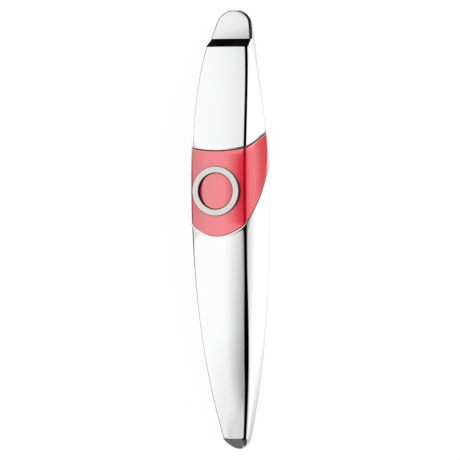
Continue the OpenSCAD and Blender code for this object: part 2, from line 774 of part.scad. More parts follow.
// Negative strip, under the trough from the spring plate and up to the board
module negative_strip() {
    color("gold") {
        run = riser_u + 2 * strip_t - spring_plate_u;
        block(spring_plate_u - strip_t, cradle_base_z, [run, strip_w, strip_t]);
        block(spring_plate_u - strip_t, cradle_base_z, [strip_t, strip_w, strip_end_h]);
        block(riser_u, cradle_base_z, [strip_t, strip_w, board_base_z - cradle_base_z]);
    }
}

// ---- Board and its parts ----

module circuit_board() {
    color("seagreen") difference() {
        block(board_u, board_base_z, [board_length, board_w, board_t]);
        board_holes();
    }
}

// Controller and heater driver
module control_chips() {
    color([0.12, 0.12, 0.12]) {
        block(button_u + switch_w / 2 + 1.2, board_top_z, [4.9, 3.9, 1.5], -2.6);
        block(button_u - switch_w / 2 - 4, board_top_z, [2.9, 1.6, 1.1], 2.4);
    }
}

module boost_inductor() {
    inductor_d = 4.6;
    color([0.3, 0.3, 0.32]) at_waist()
        translate([button_u + switch_w / 2 + 3.4, 2.6, board_top_z])
        cylinder(d = inductor_d, h = 2.2, $fn = curve_fn);
}

// ---- Motor ----

module motor_can() {
    color("lightgray") difference() {
        rod(motor_u, motor_z, motor_d, motor_length);
        rod(motor_end_u - shaft_in, motor_z, shaft_d + 0.1, shaft_in + 1);
    }
}

module motor_boot() {
    color([0.2, 0.2, 0.2]) difference() {
        rod(motor_u, motor_z, 2 * boot_r, motor_length - 0.5);
        rod(motor_u - 1, motor_z, motor_d, motor_length + 2);
    }
}

module motor_shaft() {
    color("silver") rod(motor_end_u - shaft_in + 0.1, motor_z, shaft_d, shaft_in - 0.1 + shaft_out);
}

// Half disc on a hub, pressed on the shaft
module eccentric_weight() {
    hub_d = shaft_d + 2;
    u = motor_end_u + weight_gap;
    color("gray") difference() {
        union() {
            rod(u, motor_z, hub_d, weight_length);
            intersection() {
                rod(u, motor_z, 2 * weight_r, weight_length);
                block(u, motor_z - 2 * weight_r, [weight_length, 4 * weight_r, 2 * weight_r]);
            }
        }
        rod(u - 1, motor_z, shaft_d, weight_length + 2);
    }
}

// ---- Leads ----

// Points of the motor's leads: from the motor, up its rear, and back to the board
lead_top_z = board_top_z + lead_d / 2;
function motor_route(side) = [
    [motor_u - 0.5, side * 1.4, motor_z + 2.3], [motor_u - 0.9, side * 1.4, motor_z + 2.8],
    [motor_u - 1.8, side * 1.4, motor_z + 3.9], [motor_u - 3.2, side * 1.4, lead_top_z],
    [board_u + board_length + 2, side * 1.4, lead_top_z],
    [board_u + board_length - 1, side * 1.4, lead_top_z]];

// Points of the heater's leads: from the board, past the motor and weight, and up through the slot
function heater_route(side) = [
    [board_u + board_length - 0.6, side * 1.2, lead_top_z + 1],
    [board_u + board_length + 2.5, side * 3.2, lead_top_z + 0.9],
    [motor_u - 3, side * 4.6, lead_top_z - 0.6], [motor_u, side * 5.1, motor_z + 3.3],
    [motor_u + 5, side * 5.3, motor_z + 2.4], [motor_u + 10, side * 5.2, motor_z + 1.2],
    [motor_end_u + 1, side * 4.9, motor_z], [motor_end_u + 4, side * 4.2, motor_z - 1.6],
    [motor_end_u + 6.5, side * 3, motor_z - 2.8], [slot_u - 1.6, side * 1.7, motor_z - 3.5],
    [slot_u + 0.1, side * 1.2, motor_z - 2.8],
    [slot_u + 0.5, side * 1.2, front_at(slot_u + 0.5, 1.2, plate_t + film_t + 0.05)]];

module lead(route) {
    color("red") tube(wire_rings([for (p = route) p + [waist_x, 0, 0]], lead_d, 8), true);
}

module motor_leads() {
    for (side = [-1, 1]) lead(motor_route(side));
}

module heater_leads() {
    for (side = [-1, 1]) lead(heater_route(side));
}

lower_shell();
upper_shell();
grip_band();
lower_seal();
upper_seal();
neck_collar();
head_plate();
button_bezel();
button_cap();
coupling_sleeve();
chassis();
battery_cell();
contact_spring();
spring_plate();
nub_plate();
negative_strip();
circuit_board();
switch_body();
switch_plunger();
control_chips();
boost_inductor();
board_screws();
sleeve_screws();
motor_can();
motor_boot();
motor_shaft();
eccentric_weight();
motor_leads();
heater_leads();
heater_film();
insulation_pad();
thermistor();
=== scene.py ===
# %% [markdown]
# # A heated eye massager wand
# The wand is a slim, chromed battery handle with a coral grip band, a round push button in a
# silver bezel, and a polished heated plate on a black collar at its head. It lies on its back.
# The packed construction model gives every piece its place. The pieces that show are modelled
# again here with far more points, from the same rules that shaped the construction model, because
# a mirror finish shows every flat facet. The pieces inside keep their construction meshes.

# %% Load the frame and keep its box
import math
import bmesh
import bpy
import numpy as np
from mathutils import Matrix, Vector
from mathutils.bvhtree import BVHTree


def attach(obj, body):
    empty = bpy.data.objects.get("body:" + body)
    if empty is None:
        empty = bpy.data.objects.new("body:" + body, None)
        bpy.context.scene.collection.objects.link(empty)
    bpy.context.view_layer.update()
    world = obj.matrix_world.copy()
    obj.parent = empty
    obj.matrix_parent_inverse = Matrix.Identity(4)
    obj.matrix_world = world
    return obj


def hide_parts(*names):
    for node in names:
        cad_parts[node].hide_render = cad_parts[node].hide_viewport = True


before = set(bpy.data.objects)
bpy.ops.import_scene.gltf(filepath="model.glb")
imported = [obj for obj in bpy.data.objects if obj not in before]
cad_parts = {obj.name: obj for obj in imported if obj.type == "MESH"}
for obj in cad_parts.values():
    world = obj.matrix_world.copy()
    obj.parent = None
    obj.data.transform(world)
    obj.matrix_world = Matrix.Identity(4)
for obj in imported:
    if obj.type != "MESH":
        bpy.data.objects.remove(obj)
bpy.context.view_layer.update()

# %% [markdown]
# ## The driving sizes
# These are the real sizes of the wand in millimetres, the same values as the construction model's.
# Distances along the wand, called u, are measured from its fullest section towards the head, so a
# length reads the same way as on a drawing. Blender works in metres, so `MM` converts at the end. A
# name's last letter says what it is: U is a place along the wand, N a count, and W, H, T, R and D
# are a width, height, thickness, radius and diameter.

# %% Lengths, widths and bows
MM = 0.001
# fullest section to the tail's end, and to the head's tip
TAIL_LENGTH = 86.0
HEAD_LENGTH = 54.0
# width of the front between its creases: at its fullest, at the tail and at the head
FACE_W = 17.9
TAIL_END_W = 6.0
HEAD_END_W = 8.2
# how late the width falls away towards each end
TAIL_POWER = 2.8
HEAD_POWER = 3.6
# height of the creases over the table, and the radii of the front's bow towards each end
CREASE_H = 23.0
FRONT_TAIL_R = 246.0
FRONT_HEAD_R = 125.0
# radii of the back's bow, where it is lowest, and how much of it is ground flat there
BACK_TAIL_R = 800.0
BACK_HEAD_R = 310.0
REST_U = -19.0
REST_CUT = 0.45
# past here the back runs on straight, and eases off towards the tip
BACK_EASE_U = 30.0
WAIST_X = (TAIL_LENGTH - HEAD_LENGTH) / 2
TAIL_REACH = TAIL_LENGTH / (1 - TAIL_END_W / FACE_W) ** (1 / TAIL_POWER)
HEAD_REACH = HEAD_LENGTH / (1 - HEAD_END_W / FACE_W) ** (1 / HEAD_POWER)
print("overall length", TAIL_LENGTH + HEAD_LENGTH, "mm, waist at x =", WAIST_X, "mm")

# %% Crown, sides, head and tail
# crown of the front as a share of its half width, and how much of it is left at the head
CROWN_SHARE = 0.223
HEAD_CROWN = 0.5
# swell of the sides as a share of the depth, and how much of it is left at the head
BULGE_SHARE = 0.1
BULGE_LEFT = 0.15
BULGE_FADE_U = 2.0
BULGE_FADE_LENGTH = 38.0
# height of the widest place, as a share of the depth
BELLY_SHARE = 0.44
CREASE_R = 0.9
# the heated plate, the step down to it, and the slopes of the plate
PLATE_LENGTH = 9.1
NECK_LENGTH = 2.6
NECK_DROP = 4.1
PLATE_SLOPE = 0.55
TIP_SLOPE = 0.2
# rounding of the tip seen from the front, and the bevel at the tail
TIP_ROUND = 3.5
TIP_LEFT = 0.1
TAIL_BEVEL = 3.3
BEVEL_SLOPE = 1.6
BEVEL_U = TAIL_BEVEL - TAIL_LENGTH
STEP_U = HEAD_LENGTH - PLATE_LENGTH - NECK_LENGTH
PLATE_U = HEAD_LENGTH - PLATE_LENGTH
ROUND_U = HEAD_LENGTH - TIP_ROUND
print("bevel, step, plate and rounding start at u =", BEVEL_U, STEP_U, PLATE_U, ROUND_U, "mm")

# %% [markdown]
# ## The wand's long curves
# A moulded handle like this is drawn from a few long curves: the outline of its front face, the
# bow of its front and its back, and how much its sides bulge. Each is a function of u that takes a
# whole array of points at once, which is how NumPy keeps a dense mesh quick to make.

# %% The outline of the front
def quarter(s):
    return np.where(s <= 0, 1.0, np.maximum(TIP_LEFT, np.sqrt(np.maximum(0, 1 - s * s))))


def end_round(u):
    return quarter((u - ROUND_U) / TIP_ROUND) * quarter((BEVEL_U - u) / TAIL_BEVEL)


def face_half(u):
    tail = (np.maximum(-u, 0) / TAIL_REACH) ** TAIL_POWER
    head = (np.maximum(u, 0) / HEAD_REACH) ** HEAD_POWER
    return FACE_W / 2 * end_round(u) * (1 - tail - head)


print("width between the creases at the waist:", 2 * face_half(0.0))


# %% The bows of the front and the back
def sag(u, radius):
    return radius - np.sqrt(radius * radius - u * u)


def front_z(u):
    return CREASE_H - np.where(u < 0, sag(u, FRONT_TAIL_R), sag(u, FRONT_HEAD_R))


def crease_z(u):
    bevel = front_z(np.float64(BEVEL_U)) - BEVEL_SLOPE * (BEVEL_U - u)
    step = front_z(np.float64(STEP_U)) - NECK_DROP * (u - STEP_U) / NECK_LENGTH
    d = u - PLATE_U
    bend = (PLATE_SLOPE - TIP_SLOPE) * d * d / (2 * PLATE_LENGTH)
    plate = front_z(np.float64(STEP_U)) - NECK_DROP - PLATE_SLOPE * d + bend
    return np.select([u < BEVEL_U, u <= STEP_U, u < PLATE_U], [bevel, front_z(u), step], plate)


def back_z(u):
    lead = BACK_EASE_U - REST_U
    rise = lead / math.sqrt(BACK_HEAD_R ** 2 - lead ** 2)
    past = u - BACK_EASE_U
    straight = sag(lead, BACK_HEAD_R) + rise * past * (1 - past / (2 * (HEAD_LENGTH - BACK_EASE_U)))
    rows = [sag(u - REST_U, BACK_TAIL_R), sag(u - REST_U, BACK_HEAD_R)]
    return np.select([u < REST_U, u < BACK_EASE_U], rows, straight) - REST_CUT


print("depth at the waist:", crease_z(0.0) - back_z(0.0))


# %% The crown and the swell of the sides
def ease(s):
    c = np.clip(s, 0, 1)
    return c * c * (3 - 2 * c)


def crown_at(u):
    return CROWN_SHARE * face_half(u) * np.where(u > STEP_U, HEAD_CROWN, 1.0)


def bulge_at(u):
    left = 1 + (BULGE_LEFT - 1) * ease((u - BULGE_FADE_U) / BULGE_FADE_LENGTH)
    return BULGE_SHARE * (crease_z(u) - back_z(u)) * left


print("width at the waist:", 2 * (face_half(0.0) + bulge_at(0.0)))

# %% [markdown]
# ## The section
# Each section has a shallow crown on the front, a tight crease, a flank that swells out, and a back
# like a rounded square (a superellipse). It could be drawn as a curve and lofted with a curve bevel,
# but then the slanted ends of the band would need booleans, and booleans leave shading faults on
# chrome. Here every point of the section has a place on the surface, so any ring of points can be
# slid along the wand until it lies in a slanted cut.

# %% Points round the section
CROWN_N, ROUND_N, FLANK_N, BACK_N = 18, 8, 14, 22
LEAST_HALF = 0.02
ROUND_OF_BELLY, ROUND_OF_FACE = 0.45, 0.3
SQUARENESS = 4
HALF_N = CROWN_N + ROUND_N + FLANK_N + BACK_N
RING_N = 2 * HALF_N
index = np.arange(RING_N)
half_index = np.where(index <= HALF_N, index, RING_N - index)
side = np.where(index <= HALF_N, 1.0, -1.0)


def skin(u, inset=0.0, seat=0.0, crease=CREASE_R):
    """Points of the surface in mm, one for each place round the section, u being one value or one each."""
    u = np.broadcast_to(np.asarray(u, float), (RING_N,))
    w = np.maximum(face_half(u) - inset, LEAST_HALF)
    zc, zb = crease_z(u) - inset - seat, back_z(u) + inset
    bulge, crown = bulge_at(u), crown_at(u)
    depth = zc - zb
    belly = BELLY_SHARE * depth
    r = np.minimum(np.minimum(crease, ROUND_OF_BELLY * belly), ROUND_OF_FACE * w)
    j = half_index
    y_crown = (w - r) * j / CROWN_N
    z_crown = zc + crown * (1 - y_crown ** 2 / w ** 2)
    s = (j - CROWN_N) / ROUND_N
    y1, y2 = w - r, w + bulge * (1 - (1 - r / belly) ** 2)
    z1 = zc + crown * (1 - y1 ** 2 / w ** 2)
    y_round = (1 - s) ** 2 * y1 + 2 * s * (1 - s) * w + s ** 2 * y2
    z_round = (1 - s) ** 2 * z1 + 2 * s * (1 - s) * zc + s ** 2 * (zc - r)
    t = r + (belly - r) * (j - CROWN_N - ROUND_N) / FLANK_N
    y_flank = w + bulge * (1 - (1 - t / belly) ** 2)
    a = np.clip((j - CROWN_N - ROUND_N - FLANK_N) / BACK_N, 0, 1) * math.pi / 2
    q = (np.cos(a) ** SQUARENESS + np.sin(a) ** SQUARENESS) ** (-1 / SQUARENESS)
    y_back, z_back = (w + bulge) * q * np.cos(a), zc - belly - (depth - belly) * q * np.sin(a)
    zones = [j <= CROWN_N, j <= CROWN_N + ROUND_N, j <= CROWN_N + ROUND_N + FLANK_N]
    y = np.select(zones, [y_crown, y_round, y_flank], y_back)
    z = np.select(zones, [z_crown, z_round, zc - t], z_back)
    return np.stack([u + WAIST_X, side * y, np.maximum(z, inset)], axis=1)


print("places round a section:", RING_N)

# %% [markdown]
# ## The slanted ends of the band
# Seen from the side, the band's two ends are slanted lines with a slight curve, so each end is a
# formula that gives u for a height. `cut_u` slides every place of a section along the skin until it
# lies in such an end. The shells, seals and band all use it, so they meet along the whole joint.

# %% Where the skin meets the band's ends
# where each end crosses the crease, its slope, and how it bends
BAND_TOP_U = 9.6
BAND_TOP_SLOPE = 0.41
BAND_TOP_BEND = 0.0067
BAND_LOW_U = -14.6
BAND_LOW_SLOPE = 1.15
BAND_DIP = 0.18
DIP_FALL = 2.0
CUT_STEPS = 8


def band_end(z, head):
    fall = CREASE_H - z
    if head:
        return BAND_TOP_U + BAND_TOP_SLOPE * fall - BAND_TOP_BEND * fall * fall
    return BAND_LOW_U + BAND_LOW_SLOPE * fall - BAND_DIP * np.maximum(0, DIP_FALL - fall) ** 2


def cut_u(head, inset, shift):
    """Where each place round the section meets the band's slanted end, moved along by shift."""
    u = np.zeros(RING_N)
    for _ in range(CUT_STEPS):
        u = band_end(skin(u, inset)[:, 2], head)
    return u + shift


print("band on the front:", round(BAND_TOP_U - BAND_LOW_U, 1), "mm long at the crease")

# %% [markdown]
# ## From rings to meshes
# A shell is a list of rings: down the outside, over the rim and back up the inside. One helper joins
# neighbouring rings with quads and closes the ends, so every piece is a watertight solid with real
# wall thickness, which also shows when the battery cover is pulled off.

# %% Mesh helpers
def link(name, verts_mm, faces, smooth_angle):
    mesh = bpy.data.meshes.new(name)
    mesh.from_pydata([tuple(float(c) * MM for c in v) for v in verts_mm], [], faces)
    mesh.validate()
    obj = bpy.data.objects.new(name, mesh)
    bpy.context.scene.collection.objects.link(obj)
    mesh.polygons.foreach_set("use_smooth", [True] * len(mesh.polygons))
    mesh.set_sharp_from_angle(angle=math.radians(smooth_angle))
    return obj


def loft(name, rings, cyclic=False, smooth_angle=40):
    """Joins rings of equal length into one mesh; cyclic joins the last to the first, or both are closed."""
    n, m = len(rings[0]), len(rings)
    faces = []
    for i in range(m if cyclic else m - 1):
        a, b = i * n, ((i + 1) % m) * n
        for k in range(n):
            faces.append((a + k, a + (k + 1) % n, b + (k + 1) % n, b + k))
    verts = np.concatenate(rings)
    if not cyclic:
        for start, flip in ((0, True), ((m - 1) * n, False)):
            centre = len(verts)
            verts = np.vstack([verts, verts[start:start + n].mean(axis=0)])
            for k in range(n):
                face = (start + k, start + (k + 1) % n, centre)
                faces.append(face[::-1] if flip else face)
    obj = link(name, verts, faces, smooth_angle)
    fix_normals(obj)
    return obj


def fix_normals(obj):
    bm = bmesh.new()
    bm.from_mesh(obj.data)
    bmesh.ops.recalc_face_normals(bm, faces=bm.faces)
    bm.to_mesh(obj.data)
    bm.free()


print("a ring of the shells makes", RING_N, "quads with the next one")

# %% [markdown]
# ## Softened rims
# Moulded parts never end in a knife edge. A rim here curls in over a quarter circle of `EDGE_R`,
# which catches a thin line of light or dark along each joint, as on the real wand.

# %% Rims in the slanted cuts
WALL = 1.5
EDGE_R = 0.16
EDGE_N = 4


def over_rim(head, shift, toward, turns):
    """Rings over the softened rim, for the given turns from the outside, 0, to the cut, EDGE_N."""
    rings = []
    for i in turns:
        a = math.pi / 2 * i / EDGE_N
        inset = EDGE_R * (1 - math.cos(a))
        rings.append(skin(cut_u(head, inset, shift - toward * EDGE_R * (1 - math.sin(a))), inset))
    return rings


def cut_rings(far_u, count, head, shift, toward):
    """Outside rings from far_u to the slanted cut, then over the softened rim and to the inside skin."""
    outer = cut_u(head, 0.0, shift - toward * EDGE_R)
    rings = [skin(far_u + (outer - far_u) * s) for s in np.linspace(0, 1, count)]
    rings += over_rim(head, shift, toward, range(1, EDGE_N + 1))
    rings.append(skin(cut_u(head, WALL, shift), WALL))
    return rings


print("rims are softened by", EDGE_R, "mm in", EDGE_N, "steps")

# %% [markdown]
# ## Battery cover
# The long lower shell is one chromed ABS moulding. Its tail is rounded off and bevelled on the front
# side. Its rings run from the tail up to the slanted cut and back down the inside. They stand closer
# at the tail's end, where the form turns fastest. The shell slides off towards the tail, so it rides
# on its own body.

# %% Lower shell
SEAL_T = 0.35
COVER_GAP = 0.05
TAIL_RINGS, COVER_RINGS, COVER_INSIDE_RINGS = 18, 130, 40
cover_shift = -SEAL_T - COVER_GAP
tail_us = -TAIL_LENGTH + TAIL_BEVEL * np.linspace(0, 1, TAIL_RINGS)[:-1] ** 2
inner_far = BEVEL_U + WALL
inner = cut_u(False, WALL, cover_shift)
outside = [skin(u) for u in tail_us] + cut_rings(BEVEL_U, COVER_RINGS, False, cover_shift, 1)
inside = [skin(inner + (inner_far - inner) * s, WALL) for s in np.linspace(0, 1, COVER_INSIDE_RINGS)[1:]]
lower_shell = loft("battery_cover_shell", outside + inside)
print("battery cover:", len(lower_shell.data.polygons), "faces")

# %% [markdown]
# ## Front casing
# The upper shell carries the head. Its front steps down at the neck, where the black collar and the
# heated plate are let into it, flush with its sides. That seat needs no boolean either: the rings past
# the ledge are the same skin, drawn lower by the collar's thickness.

# %% Upper shell
COLLAR_T = 1.5
SEAT_GAP = 0.05
SEAT_CREASE = 0.05
STEP_EDGE = 0.02
HOLLOW_END = 3.0
HOLLOW_UNDER_PLATE = 1.0
CASING_RINGS, HEAD_RINGS, TIP_RINGS, CASING_INSIDE_RINGS = 90, 24, 20, 20
seat_depth = COLLAR_T + SEAT_GAP
ledge_u = STEP_U - SEAT_GAP
flat_us = np.linspace(PLATE_U, ROUND_U, HEAD_RINGS)
tip_us = HEAD_LENGTH - TIP_ROUND * (1 - np.linspace(0, 1, TIP_RINGS)[1:]) ** 2
head_us = [*flat_us, *tip_us]
nose = [skin(u, 0.0, seat_depth, SEAT_CREASE) for u in [ledge_u, *head_us]]
outside = nose[::-1] + cut_rings(ledge_u - STEP_EDGE, CASING_RINGS, True, SEAL_T, -1)
inner = cut_u(True, WALL, SEAL_T)
inner_far = ledge_u - HOLLOW_END
inside = [skin(inner + (inner_far - inner) * s, WALL) for s in np.linspace(0, 1, CASING_INSIDE_RINGS)[1:]]
neck_us = (ledge_u - WALL, PLATE_U - WALL / 2, PLATE_U + HOLLOW_UNDER_PLATE)
inside += [skin(u, WALL, seat_depth, SEAT_CREASE) for u in neck_us]
upper_shell = loft("front_casing_shell", outside + inside)
print("front casing:", len(upper_shell.data.polygons), "faces")

# %% [markdown]
# ## Grip band
# The coral band is a moulding of its own, cut slanted at both ends, so its flanks taper to a narrow
# strip at the back. It is a closed loop of rings: out along its face, over one rim, back along the
# inside, and over the other rim.

# %% Rings of the band
BAND_RINGS, BAND_INSIDE_RINGS = 110, 24


def band_rings():
    low, top = cut_u(False, 0.0, EDGE_R), cut_u(True, 0.0, -EDGE_R)
    rings = [skin(low + (top - low) * s) for s in np.linspace(0, 1, BAND_RINGS)]
    rings += over_rim(True, 0.0, 1, range(1, EDGE_N + 1))
    low_in, top_in = cut_u(False, WALL, 0.0), cut_u(True, WALL, 0.0)
    rings += [skin(top_in + (low_in - top_in) * s, WALL) for s in np.linspace(0, 1, BAND_INSIDE_RINGS)]
    return rings + over_rim(False, 0.0, -1, range(EDGE_N, 0, -1))


band = loft("coral_grip_band", band_rings(), cyclic=True)
print("grip band before its hole:", len(band.data.polygons), "faces")

# %% [markdown]
# ### The hole for the bezel
# A boolean cuts the hole, as a core in the mould would. Afterwards each corner of a face looks up the
# nearest point of the uncut mesh and takes its soft normal, unless it faces another way, as the wall
# of the hole does. The cutter is a turned piece, as the bezel will be, so a small lathe comes first.

# %% A lathe for round pieces
CIRCLE_N = 192


def circle(x, radius, z):
    """A level ring of CIRCLE_N points in mm; z is one height or one for each point."""
    turns = np.linspace(0, 2 * math.pi, CIRCLE_N, endpoint=False)
    heights = np.broadcast_to(np.asarray(z, float), (CIRCLE_N,))
    return np.stack([x + radius * np.cos(turns), radius * np.sin(turns), heights], axis=1)


def lathe(name, profile, x, smooth_angle=50, closed=True):
    """Turns a profile of (radius, z) in mm about the upright axis at x; closed joins its ends."""
    rings = [circle(x, r, z) for r, z in profile]
    return loft(name, rings, closed, smooth_angle)


print("round pieces have", CIRCLE_N, "sides")

# %% Bezel hole, with the shading kept
BUTTON_U = -3.7
BEZEL_D = 15.6
BUTTON_GAP = 0.13
HOLE_LOW, HOLE_HIGH = 14.0, 32.0
# a corner keeps its soft normal while the two normals' dot product is over this
SAME_WAY = 0.94
NEXT_TO_NOTHING = 1e-9


def cut_keeping_shading(obj, cutter):
    """Cuts cutter out of obj, and gives the old faces the normals that they had before the cut."""
    old = obj.data.copy()
    old_normals = [v.normal.copy() for v in old.vertices]
    tree = BVHTree.FromPolygons([v.co for v in old.vertices], [tuple(f.vertices) for f in old.polygons])
    mod = obj.modifiers.new("hole", "BOOLEAN")
    mod.operation, mod.solver, mod.object = "DIFFERENCE", "EXACT", cutter
    graph = bpy.context.evaluated_depsgraph_get()
    mesh = bpy.data.meshes.new_from_object(obj.evaluated_get(graph))
    obj.modifiers.clear()
    obj.data = mesh
    bpy.data.objects.remove(cutter)
    normals = [None] * len(mesh.loops)
    for face in mesh.polygons:
        for li in face.loop_indices:
            co = mesh.vertices[mesh.loops[li].vertex_index].co
            where, flat, fi, _ = tree.find_nearest(co)
            corners = old.polygons[fi].vertices
            weights = [1 / (NEXT_TO_NOTHING + (old.vertices[c].co - where).length) for c in corners]
            soft = sum((old_normals[c] * k for c, k in zip(corners, weights)), flat * 0).normalized()
            normals[li] = soft if soft.dot(face.normal) > SAME_WAY else face.normal.copy()
    mesh.polygons.foreach_set("use_smooth", [True] * len(mesh.polygons))
    mesh.normals_split_custom_set(normals)
    return obj


hole_r = BEZEL_D / 2 + BUTTON_GAP
button_x = WAIST_X + BUTTON_U
hole = lathe("hole", [(hole_r, HOLE_LOW), (hole_r, HOLE_HIGH)], button_x, 30, closed=False)
band = cut_keeping_shading(band, hole)
print("grip band:", len(band.data.polygons), "faces")

# %% [markdown]
# ## Seals in the joints
# A thin dark seal sits a quarter millimetre below the surface in each joint, and it is what makes
# the joints read as fine dark lines. A painted line would look the same from the front, but a real
# groove also stays right from the side and when the cover is off.

# %% Seals
SEAL_INSET = 0.25


def rim_ring(head, share, shift):
    """A ring on the flat rim of the band, a share of the wall's thickness in from the outside."""
    outer, inner = skin(cut_u(head, 0.0, shift)), skin(cut_u(head, WALL, shift), WALL)
    return outer + (inner - outer) * share


def seal_ring(name, head, start, stop):
    path = [(SEAL_INSET / WALL, start), (SEAL_INSET / WALL, stop), (1.0, stop), (1.0, start)]
    return loft(name, [rim_ring(head, share, shift) for share, shift in path], cyclic=True)


lower_seal = seal_ring("tail_side_seal", False, -SEAL_T, -SEAT_GAP)
upper_seal = seal_ring("head_side_seal", True, SEAT_GAP, SEAL_T)
print("seals:", [len(o.data.polygons) for o in (lower_seal, upper_seal)], "faces")

# %% [markdown]
# ## Collar, heated plate and pad
# The black collar is a heat-proof moulding down the step, and the plate is pressed steel with a
# rolled edge. Both have the outside's crown above and a matching crown below, so each of their
# sections is the upper part of the skin, closed by a second crowned line.

# %% Sections of the head pieces
PLATE_T = 0.8
LIP_R = 0.12
LIP_T = 0.15
GASKET_T = 0.3
# the plate's middle: its gap to the gasket, and its least share of the plate's width at the tip
CORE_GAP = 0.03
CORE_SHARE = 0.3
COLLAR_EDGE_R = 0.64
# the heater film lies between the plate and the pad
FILM_T = 0.15
PAD_GAP = 0.05
PAD_HALF = 0.2
EDGE_K = CROWN_N + ROUND_N
LAYER_N = 16
across = np.linspace(-1, 1, 2 * LAYER_N + 1)


def front_at(u, y, drop):
    return crease_z(u) - drop + crown_at(u) * (1 - (y / face_half(u)) ** 2)


def layer_line(u, ys, drop):
    """A crowned line across the head at drop below the outside, in mm."""
    return np.stack([np.full(len(ys), u + WAIST_X), ys, front_at(u, ys, drop)], axis=1)


def skin_top(u, crease):
    """The part of the skin over the front and its two creases."""
    ring = skin(u, crease=crease)
    return np.concatenate([ring[RING_N - EDGE_K:], ring[:EDGE_K + 1]])


def collar_section(u):
    return np.concatenate([skin_top(u, COLLAR_EDGE_R), layer_line(u, -face_half(u) * across, COLLAR_T)])


def plate_section(u):
    """The plate: a thin rounded lip, and a thicker middle that sits inside the gasket."""
    half, edge_z = float(face_half(u)), float(crease_z(u))
    core = max(CORE_SHARE * half, half - GASKET_T - CORE_GAP)
    step = [[u + WAIST_X, y, edge_z - LIP_T] for y in (half, core, -core, -half)]
    return np.concatenate([skin_top(u, LIP_R), step[:2], layer_line(u, -core * across, PLATE_T), step[2:]])


def pad_section(u):
    half = max(PAD_HALF, float(face_half(u)) - GASKET_T - PAD_GAP)
    above = layer_line(u, half * across, PLATE_T + FILM_T + CORE_GAP)
    return np.concatenate([above, layer_line(u, -half * across, COLLAR_T)])


print("places across a layer:", len(across))

# %% Collar, plate and pad
PAD_SHORT = 0.6
COLLAR_RINGS, PAD_RINGS = 14, 30
TIP_INSET = 0.18
collar_us = np.linspace(STEP_U, PLATE_U - SEAT_GAP, COLLAR_RINGS)
collar = loft("neck_collar_black", [collar_section(u) for u in collar_us])
plate_end = HEAD_LENGTH - TIP_INSET
plate_us = [float(u) for u in head_us if u < plate_end] + [plate_end]
plate = loft("heated_plate_polished", [plate_section(u) for u in plate_us])
pad_us = np.linspace(PLATE_U, HEAD_LENGTH - PAD_SHORT, PAD_RINGS)
pad = loft("insulation_pad_black", [pad_section(u) for u in pad_us])
print("collar, plate and pad:", [len(o.data.polygons) for o in (collar, plate, pad)], "faces")

# %% [markdown]
# ## Gasket round the plate
# The pad's rim is a black gasket that stands out a little past the plate's edge, and it is what draws
# the dark line round the head. It is a small box section swept along the plate's outline, pushed out
# and in along the outline's own normals.

# %% Gasket
GASKET_PROUD = 0.2
GASKET_HANG = 0.6
GASKET_DROP = 0.02


def beside(plan, distance):
    """The outline moved outwards by distance; a negative one moves it inwards."""
    ways = np.gradient(plan, axis=0)
    ways /= np.linalg.norm(ways, axis=1)[:, None]
    return plan + distance * np.stack([-ways[:, 1], ways[:, 0]], axis=1)


def gasket_section(outer, inner):
    edge_z = float(crease_z(outer[0]))
    high, low = edge_z - LIP_T - GASKET_DROP, edge_z - COLLAR_T - GASKET_HANG
    corners = ((outer, high), (outer, low), (inner, low), (inner, high))
    return np.array([[place[0] + WAIST_X, place[1], z] for place, z in corners])


plan = [(u, float(face_half(u))) for u in head_us] + [(u, -float(face_half(u))) for u in head_us[::-1]]
plan = np.array(plan)
outer_plan = beside(plan, GASKET_PROUD)
outer_plan[:, 0] = np.minimum(outer_plan[:, 0], HEAD_LENGTH)
gasket_rings = [gasket_section(outer, inner) for outer, inner in zip(outer_plan, beside(plan, -GASKET_T))]
gasket = loft("plate_gasket_black", gasket_rings)
print("gasket:", len(gasket.data.polygons), "faces")

# %% [markdown]
# ## Bezel
# The bezel is a turned ring with a flat, satin top, so it is a lathe of a small profile with rounded
# corners. Below its rim a black piece stands for the shade in the gap round such a ring: painted
# shade. It is a piece of its own, a hair wider than the ring, so that it also draws the fine dark line
# round it as painted shade.

# %% Bezel ring
BEZEL_BORE = 11.8
BEZEL_H = 3.3
BEZEL_TOP = 2.2
RING_EDGE = 0.12
RING_LIP = 0.16


def corner(r, z, radius, start, count=6):
    """Points of a rounded corner of a lathe profile, centred at (r, z), over a quarter turn."""
    turns = np.radians(np.linspace(start, start + 90, count))
    return [(r + radius * math.cos(t), z + radius * math.sin(t)) for t in turns]


outer_r, inner_r = BEZEL_D / 2, BEZEL_BORE / 2
top_z = CREASE_H + BEZEL_TOP
base_z = top_z - BEZEL_H
lip_z = top_z - RING_LIP
profile = [(outer_r, lip_z)] + corner(outer_r - RING_EDGE, top_z - RING_EDGE, RING_EDGE, 0)
profile += corner(inner_r + RING_EDGE, top_z - RING_EDGE, RING_EDGE, 90) + [(inner_r, lip_z)]
bezel = lathe("bezel_ring_satin", profile, button_x)
print("bezel:", len(bezel.data.polygons), "faces,", BEZEL_D, "mm across")

# %% Black skirt under the ring's rim, painted shade of the gap
# a black piece that stands for the shade in the gap round the ring: painted shade
SKIRT_PROUD = 0.1
SKIRT_INSIDE = 0.05
skirt_outer, skirt_inner = outer_r + SKIRT_PROUD, inner_r - SKIRT_INSIDE
skirt_profile = [(skirt_outer, base_z), (skirt_outer, lip_z), (skirt_inner, lip_z), (skirt_inner, base_z)]
skirt = lathe("bezel_painted_gap_shade", skirt_profile, button_x)
print("skirt:", len(skirt.data.polygons), "faces")

# %% [markdown]
# ## Button cap
# The cap follows the band's own crown, which a plain lathe can't do, so its rings take their height
# from the crown, point by point. A flange below keeps it from falling out through the bezel.

